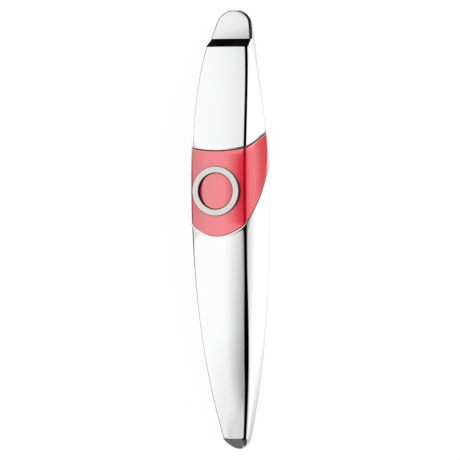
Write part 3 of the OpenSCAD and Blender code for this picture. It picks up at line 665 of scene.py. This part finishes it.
# %% Button cap
CAP_EDGE = 0.3
CAP_SINK = 0.1
CAP_CENTRE_R = 0.2
CAP_RINGS = 26
EDGE_START, EDGE_RINGS = 75, 6
FLANGE_H = 0.9
FLANGE_GAP = 0.05
FLANGE_LIP = 0.93
cap_r = inner_r - BUTTON_GAP
flange_top = base_z - FLANGE_GAP
flange_r = cap_r + FLANGE_LIP


def cap_ring(radius, drop):
    flat = circle(button_x, radius, 0.0)
    return circle(button_x, radius, front_at(BUTTON_U, flat[:, 1], CAP_SINK + drop))


rings = [cap_ring(r, 0.0) for r in np.linspace(CAP_CENTRE_R, cap_r - CAP_EDGE, CAP_RINGS)]
for t in np.radians(np.linspace(EDGE_START, 0, EDGE_RINGS)):
    rings.append(cap_ring(cap_r - CAP_EDGE * (1 - math.cos(t)), CAP_EDGE * (1 - math.sin(t))))
flange = ((cap_r, flange_top), (flange_r, flange_top), (flange_r, flange_top - FLANGE_H))
rings += [circle(button_x, r, z) for r, z in flange]
button = loft("coral_button_cap", rings, smooth_angle=45)
print("button cap:", len(button.data.polygons), "faces")

# %% [markdown]
# ## Riding and replacing
# Each new piece stands for one construction node and moves with that node's body. The construction
# node is then hidden, but it still does the touching when the wand's motion is worked out.

# %% Which piece stands for which node
new_pieces = [
    (lower_shell, "lower_shell", "battery_cover", "chrome_shell"),
    (upper_shell, "upper_shell", "root", "chrome_shell"),
    (band, "grip_band", "root", "red_band"),
    (lower_seal, "lower_seal", "root", "seal"),
    (upper_seal, "upper_seal", "root", "seal"),
    (collar, "neck_collar", "root", "black_trim"),
    (plate, "head_plate", "root", "heat_plate"),
    (pad, "insulation_pad", "root", "black_trim"),
    (gasket, "insulation_pad", "root", "black_trim"),
    (bezel, "button_bezel", "root", "bezel"),
    # the skirt's black is painted shade of the gap round the bezel
    (skirt, "button_bezel", "root", "black_trim"),
    (button, "button_cap", "button", "red_button"),
]
for piece, node, body, slot in new_pieces:
    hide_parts(node)
    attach(piece, body)
print(len(new_pieces), "pieces stand for construction nodes")

# %% [markdown]
# ## Materials
# Every finish is a small node tree on one Principled shader. Constants sit on the shader's own
# sockets, and only what varies over the surface, such as roughness, tint and fine bumps, comes from
# noise in the object's own coordinates, which move with the piece.

# %% A helper for node materials
def set_sockets(node, **values):
    """Sets a node's own sockets by their names, with _ for a space."""
    for name, value in values.items():
        node.inputs[name.replace("_", " ")].default_value = value


def material(name, color, roughness=0.3, metallic=0.0, **sockets):
    mat = bpy.data.materials.new(name)
    mat.use_nodes = True
    shader = mat.node_tree.nodes["Principled BSDF"]
    set_sockets(shader, Base_Color=(*color, 1.0), Roughness=roughness, Metallic=metallic, **sockets)
    return mat


def srgb(r, g, b):
    """A colour given as it is seen, 0 to 255, turned into the linear values that shaders use."""
    def linear(c):
        c = c / 255
        return c / 12.92 if c <= 0.04045 else ((c + 0.055) / 1.055) ** 2.4
    return tuple(linear(c) for c in (r, g, b))


print("mid grey in linear light:", round(srgb(128, 128, 128)[0], 3))

# %% Noise that varies a finish
NOISE_LOW, NOISE_HIGH = 0.3, 0.7
TINT_LOW, TINT_HIGH = 0.35, 0.65


def through_noise(mat, kind, inlet, outlet, socket, scale, detail, stretch=(1, 1, 1)):
    """Adds noise, and one node of a kind between it and a socket of the shader; returns that node."""
    nodes, links = mat.node_tree.nodes, mat.node_tree.links
    coords = nodes.new("ShaderNodeTexCoord")
    mapping = nodes.new("ShaderNodeMapping")
    tex = nodes.new("ShaderNodeTexNoise")
    between = nodes.new(kind)
    set_sockets(mapping, Scale=stretch)
    set_sockets(tex, Scale=scale, Detail=detail)
    links.new(coords.outputs["Object"], mapping.inputs["Vector"])
    links.new(mapping.outputs["Vector"], tex.inputs["Vector"])
    links.new(tex.outputs["Fac"], between.inputs[inlet])
    links.new(between.outputs[outlet], nodes["Principled BSDF"].inputs[socket])
    return between


def vary_roughness(mat, low, high, *noise):
    """Lets the roughness wander from low to high; noise is its scale, detail and stretch."""
    remap = through_noise(mat, "ShaderNodeMapRange", "Value", "Result", "Roughness", *noise)
    set_sockets(remap, From_Min=NOISE_LOW, From_Max=NOISE_HIGH, To_Min=low, To_Max=high)
    return mat


def vary_color(mat, first, second, *noise):
    ramp = through_noise(mat, "ShaderNodeValToRGB", "Fac", "Color", "Base Color", *noise).color_ramp
    for element, place, color in zip(ramp.elements, (TINT_LOW, TINT_HIGH), (first, second)):
        element.position = place
        element.color = (*color, 1)
    return mat


def bump(mat, strength, distance, *noise):
    """Raises fine bumps, with distance as their height in metres."""
    node = through_noise(mat, "ShaderNodeBump", "Height", "Normal", "Normal", *noise)
    set_sockets(node, Strength=strength, Distance=distance)
    return mat


print("noise is spread from", NOISE_LOW, "to", NOISE_HIGH, "before it sets a roughness")

# %% [markdown]
# ## Formulas inside a node tree
# Some finishes, and all of the studio, work out a brightness from a direction or a place. Wired one
# by one, that takes dozens of Math nodes. This small class adds them while a formula is worked out,
# so the formula reads as it would on paper.

# %% Values in a node tree
# places of a Mix node's sockets for colours: the share, the two inputs and the output
SHARE, FIRST, SECOND, MIXED = 0, 6, 7, 2


class Value:
    """A number or a grey in a node tree. Each operation on it adds one node."""

    def __init__(self, tree, socket):
        self.tree, self.socket = tree, socket

    def calc(self, operation, *others):
        node = self.tree.nodes.new("ShaderNodeMath")
        node.operation = operation
        feed(node.inputs, (self, *others))
        return Value(self.tree, node.outputs[0])

    def __add__(self, other):
        return self.calc("ADD", other)

    def __sub__(self, other):
        return self.calc("SUBTRACT", other)

    def __mul__(self, other):
        return self.calc("MULTIPLY", other)

    def at_least(self, other):
        return self.calc("MAXIMUM", other)

    def at_most(self, other):
        return self.calc("MINIMUM", other)

    def ramp(self, stops):
        """A ramp of greys over this value: stops are (position, brightness in linear light)."""
        node = self.tree.nodes.new("ShaderNodeValToRGB")
        elements = node.color_ramp.elements
        while len(elements) < len(stops):
            elements.new(0.5)
        for element, (place, grey) in zip(elements, stops):
            element.position = place
            element.color = (grey, grey, grey, 1)
        feed(node.inputs, (self,))
        return Value(self.tree, node.outputs["Color"])

    def mix(self, kind, share, first, second):
        node = self.tree.nodes.new("ShaderNodeMix")
        node.data_type, node.blend_type = "RGBA", kind
        feed([node.inputs[i] for i in (SHARE, FIRST, SECOND)], (share, first, second))
        return Value(self.tree, node.outputs[MIXED])

    def choose(self, first, second):
        """Colour first where this value is 0, second where it is 1, and a mix of them between."""
        return self.mix("MIX", self, first, second)

    def blend(self, kind, other):
        """Two greys as one: kind is MULTIPLY, DARKEN for the darker or LIGHTEN for the lighter."""
        return self.mix(kind, 1.0, self, other)


print("operations on a value:", [name for name in vars(Value) if not name.startswith("__")])


# %% Links to sockets, and coordinates
def feed(sockets, values):
    """Links each Value to its socket, and sets a plain number or colour on the socket itself."""
    for socket, value in zip(sockets, values):
        if isinstance(value, Value):
            value.tree.links.new(value.socket, socket)
        else:
            socket.default_value = value


def coordinates(tree, kind):
    """X, Y and Z of one kind of texture coordinates, as values."""
    node = tree.nodes.new("ShaderNodeSeparateXYZ")
    tree.links.new(tree.nodes.new("ShaderNodeTexCoord").outputs[kind], node.inputs[0])
    return [Value(tree, socket) for socket in node.outputs]


print("a colour mix takes its share at", SHARE, "and its colours at", FIRST, "and", SECOND)

# %% [markdown]
# ## Finishes of the outside
# Chrome plating on plastic is a near perfect mirror with faint cloudy patches where it has been
# handled. The bezel is satin silver, the plate polished steel, and the collar and seals are dark
# silicone.

# %% Outside metals and blacks
chrome = vary_roughness(material("bright_chrome", (0.972, 0.973, 0.975), 0.03, 1.0), 0.02, 0.05, 60, 2)
satin = vary_roughness(material("satin_silver", srgb(226, 223, 220), 0.38, 0.9), 0.34, 0.44, 700, 3)
steel = material("polished_plate_steel", (0.93, 0.93, 0.935), 0.06, 1.0)
vary_roughness(steel, 0.05, 0.1, 200, 2, (1, 12, 1))
# gloss black of the bezel's skirt, painted shade of the gap round the ring
painted_gap_shade = material("gloss_black_painted_gap_shade", (0.006, 0.006, 0.007), 0.15, Specular_IOR_Level=0.3)
vary_roughness(painted_gap_shade, 0.12, 0.2, 900, 2)
silicone = material("black_silicone", (0.0015, 0.0015, 0.002), 0.4, Specular_IOR_Level=0.03)
bump(silicone, 0.1, 0.00004, 2500, 3)
seal_dark = bump(material("seal_dark", (0.012, 0.009, 0.01), 0.6), 0.1, 0.00004, 2500, 3)
print("chrome reflects", chrome.node_tree.nodes["Principled BSDF"].inputs["Base Color"].default_value[1])

# %% [markdown]
# ## Coral lacquer
# The band and the button are sprayed in a glossy coral lacquer: a warm red under a clear coat. On
# the band a darker red over the long creases is painted shade, and a brighter red where the sides
# turn under is painted light. Both follow from the direction that the surface faces.

# %% Coral lacquer
CORAL = srgb(238, 42, 64)
CORAL_FACE = srgb(238, 42, 65)
# painted shade over the creases, and painted light where the sides turn under
CREASE_PAINTED_SHADE = srgb(160, 6, 24)
UNDER_PAINTED_LIGHT = srgb(255, 30, 56)
# shares over how far the surface is turned from straight up, in degrees
CREASE_SHADE_TURNS = ((34, 0.0), (43, 1.0), (58, 1.0), (66, 0.0))
UNDER_LIGHT_TURNS = ((78, 0.0), (88, 1.0))


def lacquer(name):
    mat = material(name, CORAL, 0.12, 0.0, IOR=2.1, Coat_Weight=1.0, Coat_Roughness=0.03, Coat_IOR=2.2)
    return bump(mat, 0.04, 0.00005, 900, 2)


# paints shade over the creases and light under the sides into the band's base colour
def paint_crease_shade_and_under_light(mat):
    tree = mat.node_tree
    _, facing_y, facing_z = coordinates(tree, "Normal")
    half_turns = facing_y.calc("ABSOLUTE").calc("ARCTAN2", facing_z) * (1 / math.pi)
    crease_shade, under_light = (half_turns.ramp([(degrees / 180, share) for degrees, share in stops])
                               for stops in (CREASE_SHADE_TURNS, UNDER_LIGHT_TURNS))
    mixed = crease_shade.choose((*CORAL_FACE, 1), (*CREASE_PAINTED_SHADE, 1))
    mixed = under_light.choose(mixed, (*UNDER_PAINTED_LIGHT, 1))
    tree.links.new(mixed.socket, tree.nodes["Principled BSDF"].inputs["Base Color"])


coral = vary_color(lacquer("coral_lacquer"), srgb(239, 43, 66), srgb(237, 41, 62), 500, 2)
# the band's lacquer, with painted crease shade and painted light under its sides
coral_with_painted_light = lacquer("coral_lacquer_painted_shade_and_light")
paint_crease_shade_and_under_light(coral_with_painted_light)
print("lacquers:", coral.name, coral_with_painted_light.name)

# %% [markdown]
# ## Finishes of the inside
# With the battery cover off, a satin moulding, the cell's jacket and a nickelled contact show. The
# front casing hides the rest, such as the motor, but each of those has its own finish too, so that
# the wand can be looked at with its shells taken away.

# %% Inside materials
moulding = bump(material("white_moulding", srgb(224, 223, 216), 0.5), 0.15, 0.00003, 3000, 3)
jacket = material("cell_jacket", srgb(70, 110, 150), 0.3, 0.4)
vary_color(jacket, srgb(70, 110, 150), srgb(64, 103, 142), 300, 2)
contact = vary_roughness(material("nickelled_brass", (0.72, 0.66, 0.5), 0.25, 1.0), 0.2, 0.35, 900, 3)
wire_steel = vary_roughness(material("bright_wire", (0.7, 0.7, 0.7), 0.2, 1.0), 0.15, 0.3, 1500, 2)
board = material("board_solder_mask", srgb(20, 92, 52), 0.3)
vary_color(board, srgb(20, 92, 52), srgb(24, 104, 60), 800, 1)
black_plastic = bump(material("component_black", (0.02, 0.02, 0.02), 0.5), 0.2, 0.00003, 4000, 2)
ferrite = bump(material("ferrite_grey", (0.06, 0.06, 0.065), 0.7), 0.3, 0.00004, 3000, 4)
zinc = vary_roughness(material("zinc_plate", (0.5, 0.5, 0.52), 0.35, 1.0), 0.3, 0.45, 1200, 3)
can_steel = material("motor_can_steel", (0.62, 0.62, 0.64), 0.28, 1.0)
vary_roughness(can_steel, 0.22, 0.34, 600, 3, (1, 8, 8))
sintered = bump(material("sintered_weight", (0.3, 0.3, 0.31), 0.6, 0.8), 0.4, 0.00005, 3500, 4)
boot_rubber = bump(material("boot_rubber", (0.02, 0.02, 0.02), 0.65), 0.2, 0.00004, 2500, 3)
lead_red = bump(material("lead_jacket_red", srgb(196, 30, 26), 0.45), 0.1, 0.00003, 3000, 2)
amber = vary_color(material("film_amber", srgb(196, 112, 30), 0.2), srgb(196, 112, 30), srgb(180, 96, 26),
                   900, 1)
bead = vary_roughness(material("glass_bead", srgb(190, 92, 40), 0.1), 0.08, 0.15, 2000, 1)
print(len(bpy.data.materials), "materials so far")

# %% [markdown]
# ## Giving each piece its finish
# A new piece gets its material directly. A construction node keeps its mesh and only its material
# slots change.

# %% Assign materials
def finish(obj, mat):
    obj.data.materials.clear()
    obj.data.materials.append(mat)


piece_materials = (
    (lower_shell, chrome), (upper_shell, chrome), (band, coral_with_painted_light), (button, coral),
    (lower_seal, seal_dark), (upper_seal, seal_dark), (collar, silicone), (pad, silicone),
    (gasket, silicone), (plate, steel), (bezel, satin), (skirt, painted_gap_shade),
)
for piece, mat in piece_materials:
    finish(piece, mat)
node_materials = {
    "coupling_sleeve": moulding, "chassis": moulding, "battery_cell": jacket, "contact_spring": wire_steel,
    "spring_plate": contact, "nub_plate": contact, "negative_strip": contact, "circuit_board": board,
    "switch_body": black_plastic, "switch_plunger": moulding, "control_chips": black_plastic,
    "boost_inductor": ferrite, "board_screws": zinc, "sleeve_screws": zinc, "motor_can": can_steel,
    "motor_boot": boot_rubber, "motor_shaft": wire_steel, "eccentric_weight": sintered,
    "motor_leads": lead_red, "heater_leads": lead_red, "heater_film": amber, "thermistor": bead,
}
replaced = {node for _, node, _, _ in new_pieces}
for node, mat in node_materials.items():
    finish(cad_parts[node], mat)
left = sorted(set(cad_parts) - replaced - set(node_materials))
print("nodes with neither a new piece nor a material:", left)

# %% [markdown]
# ## The studio's room
# Chrome shows its surroundings, so the studio is what shapes it. For the camera the room and the
# floor are plain white. What the mirror finish sees is a white room that dims towards both ends of
# the wand and turns black beyond the right edge of the view, where the tight creases catch it as
# black lines. All of it comes from the direction of a reflected ray: its lean is the angle from
# straight up, positive to the right, and its heading is how far it points to the head or the tail.

# %% Directions in the room
WHITE = (1, 1, 1, 1)
HEADNESS_GAIN, HEADNESS_START = 4.0, 0.2


def degree_ramp(angle, stops):
    """A grey ramp over an angle; its stops are in degrees from straight up, positive to the right."""
    return (angle * (1 / 360) + 0.5).ramp([(0.5 + degrees / 360, grey) for degrees, grey in stops])


world = bpy.data.worlds.new("studio")
bpy.context.scene.world = world
world.use_nodes = True
tree = world.node_tree
to_head, to_left, upward = coordinates(tree, "Generated")
lean = (to_left * -1.0).calc("ARCTAN2", upward) * (180 / math.pi)
tailness = (to_head * -1.0).at_least(0.0)
headness = to_head * HEADNESS_GAIN + HEADNESS_START
print("the room is", world.name)

# %% [markdown]
# ## Greys over the front
# The front of the wand reflects the ceiling. Towards the head the ceiling is nearly even. Towards
# the tail it falls off to the right, and the fall-off draws closer the more a ray heads for the
# tail, until near its end, which gives the long grey shade beside the crease.

# %% Ceiling
HEAD_STOPS = ((-40, 0.98), (-15, 0.95), (0, 0.92), (10, 0.89), (20, 0.86))
TAIL_STOPS = ((0, 1.0), (7, 0.96), (12, 0.91), (17, 0.84), (22, 0.77), (27, 0.68), (32, 0.6), (38, 0.5),
              (44, 0.43))
TAIL_PULL = 22.0
PULL_STOPS = ((0.0, 0.0), (0.54, 1.0), (0.6, 0.75), (0.66, 0.0))
FAR_END_STOPS = ((0.56, 0.0), (0.61, 0.62), (0.65, 0.97))
pulled = tailness.ramp(PULL_STOPS) * TAIL_PULL + lean
tail_grey = degree_ramp(pulled, TAIL_STOPS).blend("LIGHTEN", tailness.ramp(FAR_END_STOPS))
grey = headness.choose(tail_grey, degree_ramp(lean, HEAD_STOPS))
print("greys over the tail:", len(TAIL_STOPS))

# %% [markdown]
# ## Black beyond the edges
# A product shot of chrome is framed by black boards just outside the view. Here the room turns black
# to the right of the ceiling. It comes nearest for the stretch two thirds of the way to the tail. A
# greyer patch low on the left draws the thin outline there.

# %% Edges of the room
CUT_STOPS = ((48, 1.0), (58, 0.36), (64, 0.05), (70, 0.0), (150, 0.0))
CUT_NEARER_STOPS = ((0.22, 0.4), (0.36, 1.0), (0.48, 1.0), (0.56, 0.0), (1.0, 0.0))
CUT_NEARER, CUT_START = 20.0, -8.0
LEFT_STOPS = ((-106, 0.75), (-99, 0.4), (-88, 0.4), (-80, 1.0))
nearer = tailness.ramp(CUT_NEARER_STOPS) * CUT_NEARER + CUT_START
grey = grey.blend("MULTIPLY", degree_ramp(nearer + lean, CUT_STOPS))
grey = grey.blend("MULTIPLY", degree_ramp(lean, LEFT_STOPS))
print("the room turns black from", CUT_STOPS[0][0], "to", CUT_STOPS[3][0], "degrees")

# %% [markdown]
# ## The ends and the waist
# The room dims towards both ends of the wand, most of all past the tail on the left. A grey card
# hangs over the waist on the right, and it is what deepens the coral lacquer beside its crease.

# %% Dim ends and a card over the waist
TAIL_END_STOPS = ((0.375, 1.0), (0.43, 0.97), (0.48, 0.91), (0.55, 0.88), (0.6, 0.86), (0.65, 0.71),
                  (0.8, 0.71), (1.0, 0.4))
HEAD_END_STOPS = ((0.45, 1.0), (0.65, 0.95), (0.74, 0.9), (0.82, 0.72), (1.0, 0.25))
AT_TAIL_STOPS = ((0.55, 0.0), (0.63, 1.0))
BEYOND_STOPS = ((-70, 0.66), (-36, 0.68), (-25, 0.8), (0, 1.0))
OVER_WAIST_STOPS = ((0.382, 0.0), (0.391, 1.0), (0.63, 1.0), (0.641, 0.0))
CARD_STOPS = ((-75, 0.72), (-60, 0.78), (-50, 0.88), (-40, 1.0), (-10, 1.0), (-3, 0.97),
              (0, 0.85), (5, 0.72), (10, 0.56), (15, 0.34), (20, 0.1), (26, 0.0))
ends = headness.choose(tailness.ramp(TAIL_END_STOPS), to_head.ramp(HEAD_END_STOPS))
grey = grey.blend("MULTIPLY", ends)
beyond = tailness.ramp(AT_TAIL_STOPS).choose(WHITE, degree_ramp(lean, BEYOND_STOPS))
grey = grey.blend("DARKEN", beyond)
card = (to_head + 0.5).ramp(OVER_WAIST_STOPS).choose(WHITE, degree_ramp(lean, CARD_STOPS))
grey = grey.blend("MULTIPLY", card)
print("the card over the waist goes down to", CARD_STOPS[-1][1])

# %% [markdown]
# ## Who sees which room
# A Light Path node tells what kind of ray asks. The camera gets plain white, reflections get the
# shaped greys, and everything else gets an even, plain light that does the lighting. The white of
# the background therefore never depends on how bright the light is.

# %% Plain light and the seen room
PLAIN_LIGHT = 0.74


def ray_kinds(tree):
    """Whether a ray comes from the camera, from a mirror or through glass, each 0 or 1."""
    path = tree.nodes.new("ShaderNodeLightPath")
    return [Value(tree, path.outputs[f"Is {kind} Ray"]) for kind in ("Camera", "Glossy", "Transmission")]


def choose_shader(share, first, second, output):
    """Sends shader first to the output where share is 0, and second where it is 1."""
    tree = share.tree
    choice = tree.nodes.new("ShaderNodeMixShader")
    feed(choice.inputs, (share, Value(tree, first.outputs[0]), Value(tree, second.outputs[0])))
    tree.links.new(choice.outputs[0], tree.nodes[output].inputs["Surface"])


for_camera, for_mirrors, for_glass = ray_kinds(tree)
plain_part = tree.nodes["Background"]
plain_part.inputs["Color"].default_value = WHITE
plain_part.inputs["Strength"].default_value = PLAIN_LIGHT
seen_part = tree.nodes.new("ShaderNodeBackground")
feed(seen_part.inputs, (for_mirrors.choose(WHITE, grey),))
choose_shader(for_camera.at_least(for_mirrors).at_least(for_glass), plain_part, seen_part, "World Output")
print("plain light:", PLAIN_LIGHT)

# %% [markdown]
# ## Floor
# The wand lies on a pale floor. Most of what the camera sees of it is a plain white glow, so that it
# meets the white background and still shows the wand's soft shadow.

# %% Floor
FLOOR = 3.0
mesh = bpy.data.meshes.new("floor")
corners = [(-FLOOR, -FLOOR, 0), (FLOOR, -FLOOR, 0), (FLOOR, FLOOR, 0), (-FLOOR, FLOOR, 0)]
mesh.from_pydata(corners, [], [(0, 1, 2, 3)])
floor = bpy.data.objects.new("floor", mesh)
bpy.context.scene.collection.objects.link(floor)
pale = material("pale_floor", (0.86, 0.86, 0.86), 0.9, Specular_IOR_Level=0.0)
floor.data.materials.append(pale)
print("floor:", 2 * FLOOR, "m across")

# %% [markdown]
# ## Cloths and a painted shadow on the floor, for the mirror finish
# The sides of the wand reflect the floor, so its greys are laid out like cloths round the wand, which
# only reflected rays see. Right under the wand the grey is a painted contact shadow. Each cloth is a
# ramp over a distance, and where cloths lie over each other the darker one shows. Along the sides they
# fade in gently, and at both ends they have sharp edges, as dark cloths laid just outside the view would.

# %% Painted shadow under the wand, and a cloth beside it
# painted contact shadow: the floor that reflections see is darker right under the wand
CONTACT_SHADOW_STOPS = ((6, 0.6), (9, 0.8), (12, 1.0))
BAND_FROM_X, BAND_DRAW = 0.005, 2.0
FADING_STOPS = ((25, 1.0), (30, 0.97), (35, 0.87), (40, 0.78), (46, 0.7), (52, 0.64), (57, 0.4),
                (62, 0.1), (70, 0.0))


def floor_grey_ramp(distance, stops):
    """A grey ramp over a distance on the floor; its stops are in millimetres, up to 100."""
    return (distance * 10.0).ramp([(mm / 100, grey) for mm, grey in stops])


along, leftward, _ = coordinates(pale.node_tree, "Object")
away = leftward.calc("ABSOLUTE")
to_right = (leftward * -1.0).at_least(0.0)
# painted contact shadow under the wand, seen only in reflections
painted_contact_shadow = floor_grey_ramp(away, CONTACT_SHADOW_STOPS)
past_lower_half = (along - BAND_FROM_X).at_least(0.0)
fading = floor_grey_ramp(to_right - past_lower_half * BAND_DRAW, FADING_STOPS)
print("cloth beside the wand: from", FADING_STOPS[0][0], "to", FADING_STOPS[-1][0], "mm")

# %% Cloths right of the tail and of the head
# this one's edge closes in on the wand towards the tail
TAIL_LINE_X, TAIL_LINE_SLOPE = 0.041, 0.8
TAIL_LINE_STOPS = ((30, 1.0), (34, 0.9), (38, 0.5), (43, 0.0))
# and this one's is a parabola that comes nearest beside the head
HEAD_LINE_X, HEAD_LINE_BOW, HEAD_LINE_NEAR, HEAD_LINE_FAR = 0.062, 50.5, 0.015, 0.06
HEAD_LINE_STOPS = ((8, 1.0), (10, 0.5), (11.5, 0.0))
HEAD_LINE_FROM = 0.01
tail_line = floor_grey_ramp(to_right - (along + TAIL_LINE_X) * TAIL_LINE_SLOPE, TAIL_LINE_STOPS)
short = along - HEAD_LINE_X
edge = (short * short * HEAD_LINE_BOW + HEAD_LINE_NEAR).at_most(HEAD_LINE_FAR)
head_line = floor_grey_ramp(to_right - edge + HEAD_LINE_FROM, HEAD_LINE_STOPS)
print("the cloth beside the head comes as near as", HEAD_LINE_NEAR, "m")

# %% Cloths past the tail and past the head
FAR_LEFT_Y = 0.016
ALONG_GAIN, SIDE_GAIN = 5.0, 20.0
PAST_TAIL_STOPS = ((0.345, 1.0), (0.36, 0.14), (0.75, 0.14), (0.95, 0.6))
PAST_HEAD_STOPS = ((0.36, 1.0), (0.38, 0.0), (0.6, 0.0), (0.85, 1.0))
STRIP_RIGHT, STRIP_X = 0.001, 0.0715
STRIP_STOPS = ((0, 1.0), (0.7, 0.06))
far_left = (leftward - FAR_LEFT_Y).at_least(0.0)
past_tail = (along * -ALONG_GAIN - to_right * SIDE_GAIN - far_left * SIDE_GAIN).ramp(PAST_TAIL_STOPS)
strip = (to_right - STRIP_RIGHT).at_most(along * -1.0 - STRIP_X)
tail_strip = floor_grey_ramp(strip.at_least(0.0), STRIP_STOPS)
past_head = (along * ALONG_GAIN).ramp(PAST_HEAD_STOPS)
print("the cloth past the tail starts", PAST_TAIL_STOPS[0][0] / ALONG_GAIN, "m from the middle")

# %% [markdown]
# ## A cloth and a painted shadow beside the band
# The coral lacquer is a weaker mirror than the chrome, and its sides need a darker floor to keep
# their depth. Nearest the wand this grey is a painted contact shadow, and further out it is a dark
# cloth. This cloth is slanted as the band's ends are, so that only the band reflects it.

# %% Painted shadow and cloth beside the band
# edges as (slope, start): where they lie along the wand at each distance from it
BAND_LOW_EDGES = ((-0.42, 0.0193), (-2.7, 0.0565))
BAND_TOP_EDGE, BAND_TOP_LEAST = (-0.19, 0.0332), 0.0275
OFF_BAND_GAIN = 700.0
# darkest beside the wand as a painted contact shadow, lighter by 30 mm, and darker again further out as a
# cloth
BAND_SHADOW_AND_CLOTH_STOPS = ((13, 0.12), (16, 0.18), (20, 0.3), (25, 0.47), (30, 0.6), (38, 0.58), (45, 0.5),
                     (54, 0.33), (77, 0.17), (98, 0.03))
near_low, near_low_far, near_top = (away * slope + start for slope, start in (*BAND_LOW_EDGES, BAND_TOP_EDGE))
short_low = (near_low.at_least(near_low_far) - along).at_least(0.0)
short_top = (along - near_top.at_least(BAND_TOP_LEAST)).at_least(0.0)
off_band = (short_low.at_least(short_top) * OFF_BAND_GAIN).at_most(1.0)
# painted contact shadow beside the band, with a dark cloth further out
band_shadow_and_cloth = off_band.choose(floor_grey_ramp(away, BAND_SHADOW_AND_CLOTH_STOPS), WHITE)
print("cloth beside the band ends", BAND_TOP_LEAST, "m or more towards the head")

# %% [markdown]
# ## Who sees which floor
# The camera sees mostly the white glow with a share of the real, shadowed floor. Reflections see the
# cloths and the painted shadows under and beside the wand, and all other rays see a plain pale floor
# that bounces light back up.

# %% Glow, cloths and painted shadows together
GLOW_SHARE = 0.88
GLOW_STRENGTH = 1.03
# the painted shadows darken the reflected floor together with the cloths
cloths_and_shadow = painted_contact_shadow
for cloth in (fading, tail_line, head_line, past_tail, tail_strip, past_head, band_shadow_and_cloth):
    cloths_and_shadow = cloths_and_shadow.blend("DARKEN", cloth)
tree = pale.node_tree
for_camera, for_mirrors, for_glass = ray_kinds(tree)
glow = tree.nodes.new("ShaderNodeEmission")
feed(glow.inputs, (for_mirrors.choose(WHITE, cloths_and_shadow), GLOW_STRENGTH))
glowing = (for_camera * GLOW_SHARE).at_least(for_mirrors.at_least(for_glass))
choose_shader(glowing, tree.nodes["Principled BSDF"], glow, "Material Output")
print("the camera sees", GLOW_SHARE, "of the glow")

# %% [markdown]
# ## Lamp
# One large soft panel, high on the right, gives a little direction to the plain light. It is hidden
# from the mirror finish, which would show it as a hard-edged window.

# %% Soft panel
PANEL_POWER = 12
PANEL_SIZE = (2.0, 1.6)
PANEL_PLACE = (0.1, -1.1, 0.8)
panel = bpy.data.lights.new("overhead_panel", "AREA")
panel.shape = "RECTANGLE"
panel.size, panel.size_y = PANEL_SIZE
panel.energy = PANEL_POWER
panel_obj = bpy.data.objects.new("overhead_panel", panel)
bpy.context.scene.collection.objects.link(panel_obj)
panel_obj.location = PANEL_PLACE
panel_obj.rotation_euler = (-panel_obj.location).to_track_quat("-Z", "Y").to_euler()
panel_obj.visible_glossy = False
print("panel:", PANEL_POWER, "W from", PANEL_PLACE)

# %% [markdown]
# ## Camera
# The bezel is a circle, and it shows as an ellipse with sides in the ratio 0.936. That ratio is the
# cosine of how far the camera stands round to the side of the button, and with the wand's length in
# the frame it fixes the view. A long lens keeps the outline nearly parallel, as in a product shot.

# %% Camera from the ellipse of the bezel
IMAGE_PX = 460
# rows of the picture where the wand's tip and tail end, and the column of its centre line
TIP_PX, TAIL_PX = 10.2, 449.5
CENTRE_LINE_PX = 243.1
SIDE_TURN = math.radians(20.6)
LENS = 600.0
SENSOR = 36.0
px_per_mm = (TAIL_PX - TIP_PX) / (TAIL_LENGTH + HEAD_LENGTH)
frame_mm = IMAGE_PX / px_per_mm
distance = frame_mm * LENS / SENSOR * MM
x_mid = ((TAIL_PX - IMAGE_PX / 2) / px_per_mm - (TAIL_LENGTH + HEAD_LENGTH) / 2) * MM
z_mid = (CENTRE_LINE_PX - IMAGE_PX / 2) / px_per_mm / math.sin(SIDE_TURN) * MM
target = Vector((x_mid, 0, z_mid))
back = Vector((0, -math.sin(SIDE_TURN), math.cos(SIDE_TURN)))
up = Vector((1, 0, 0))
sideways = up.cross(back)
camera = bpy.data.cameras.new("view")
camera.lens, camera.sensor_width = LENS, SENSOR
camera_obj = bpy.data.objects.new("view", camera)
bpy.context.scene.collection.objects.link(camera_obj)
place = target + back * distance
camera_obj.matrix_world = Matrix.Translation(place) @ Matrix((sideways, up, back)).transposed().to_4x4()
bpy.context.scene.camera = camera_obj
bpy.context.scene.view_settings.view_transform = "Standard"
print("camera", round(distance, 3), "m away, frame", round(frame_mm, 1), "mm wide")
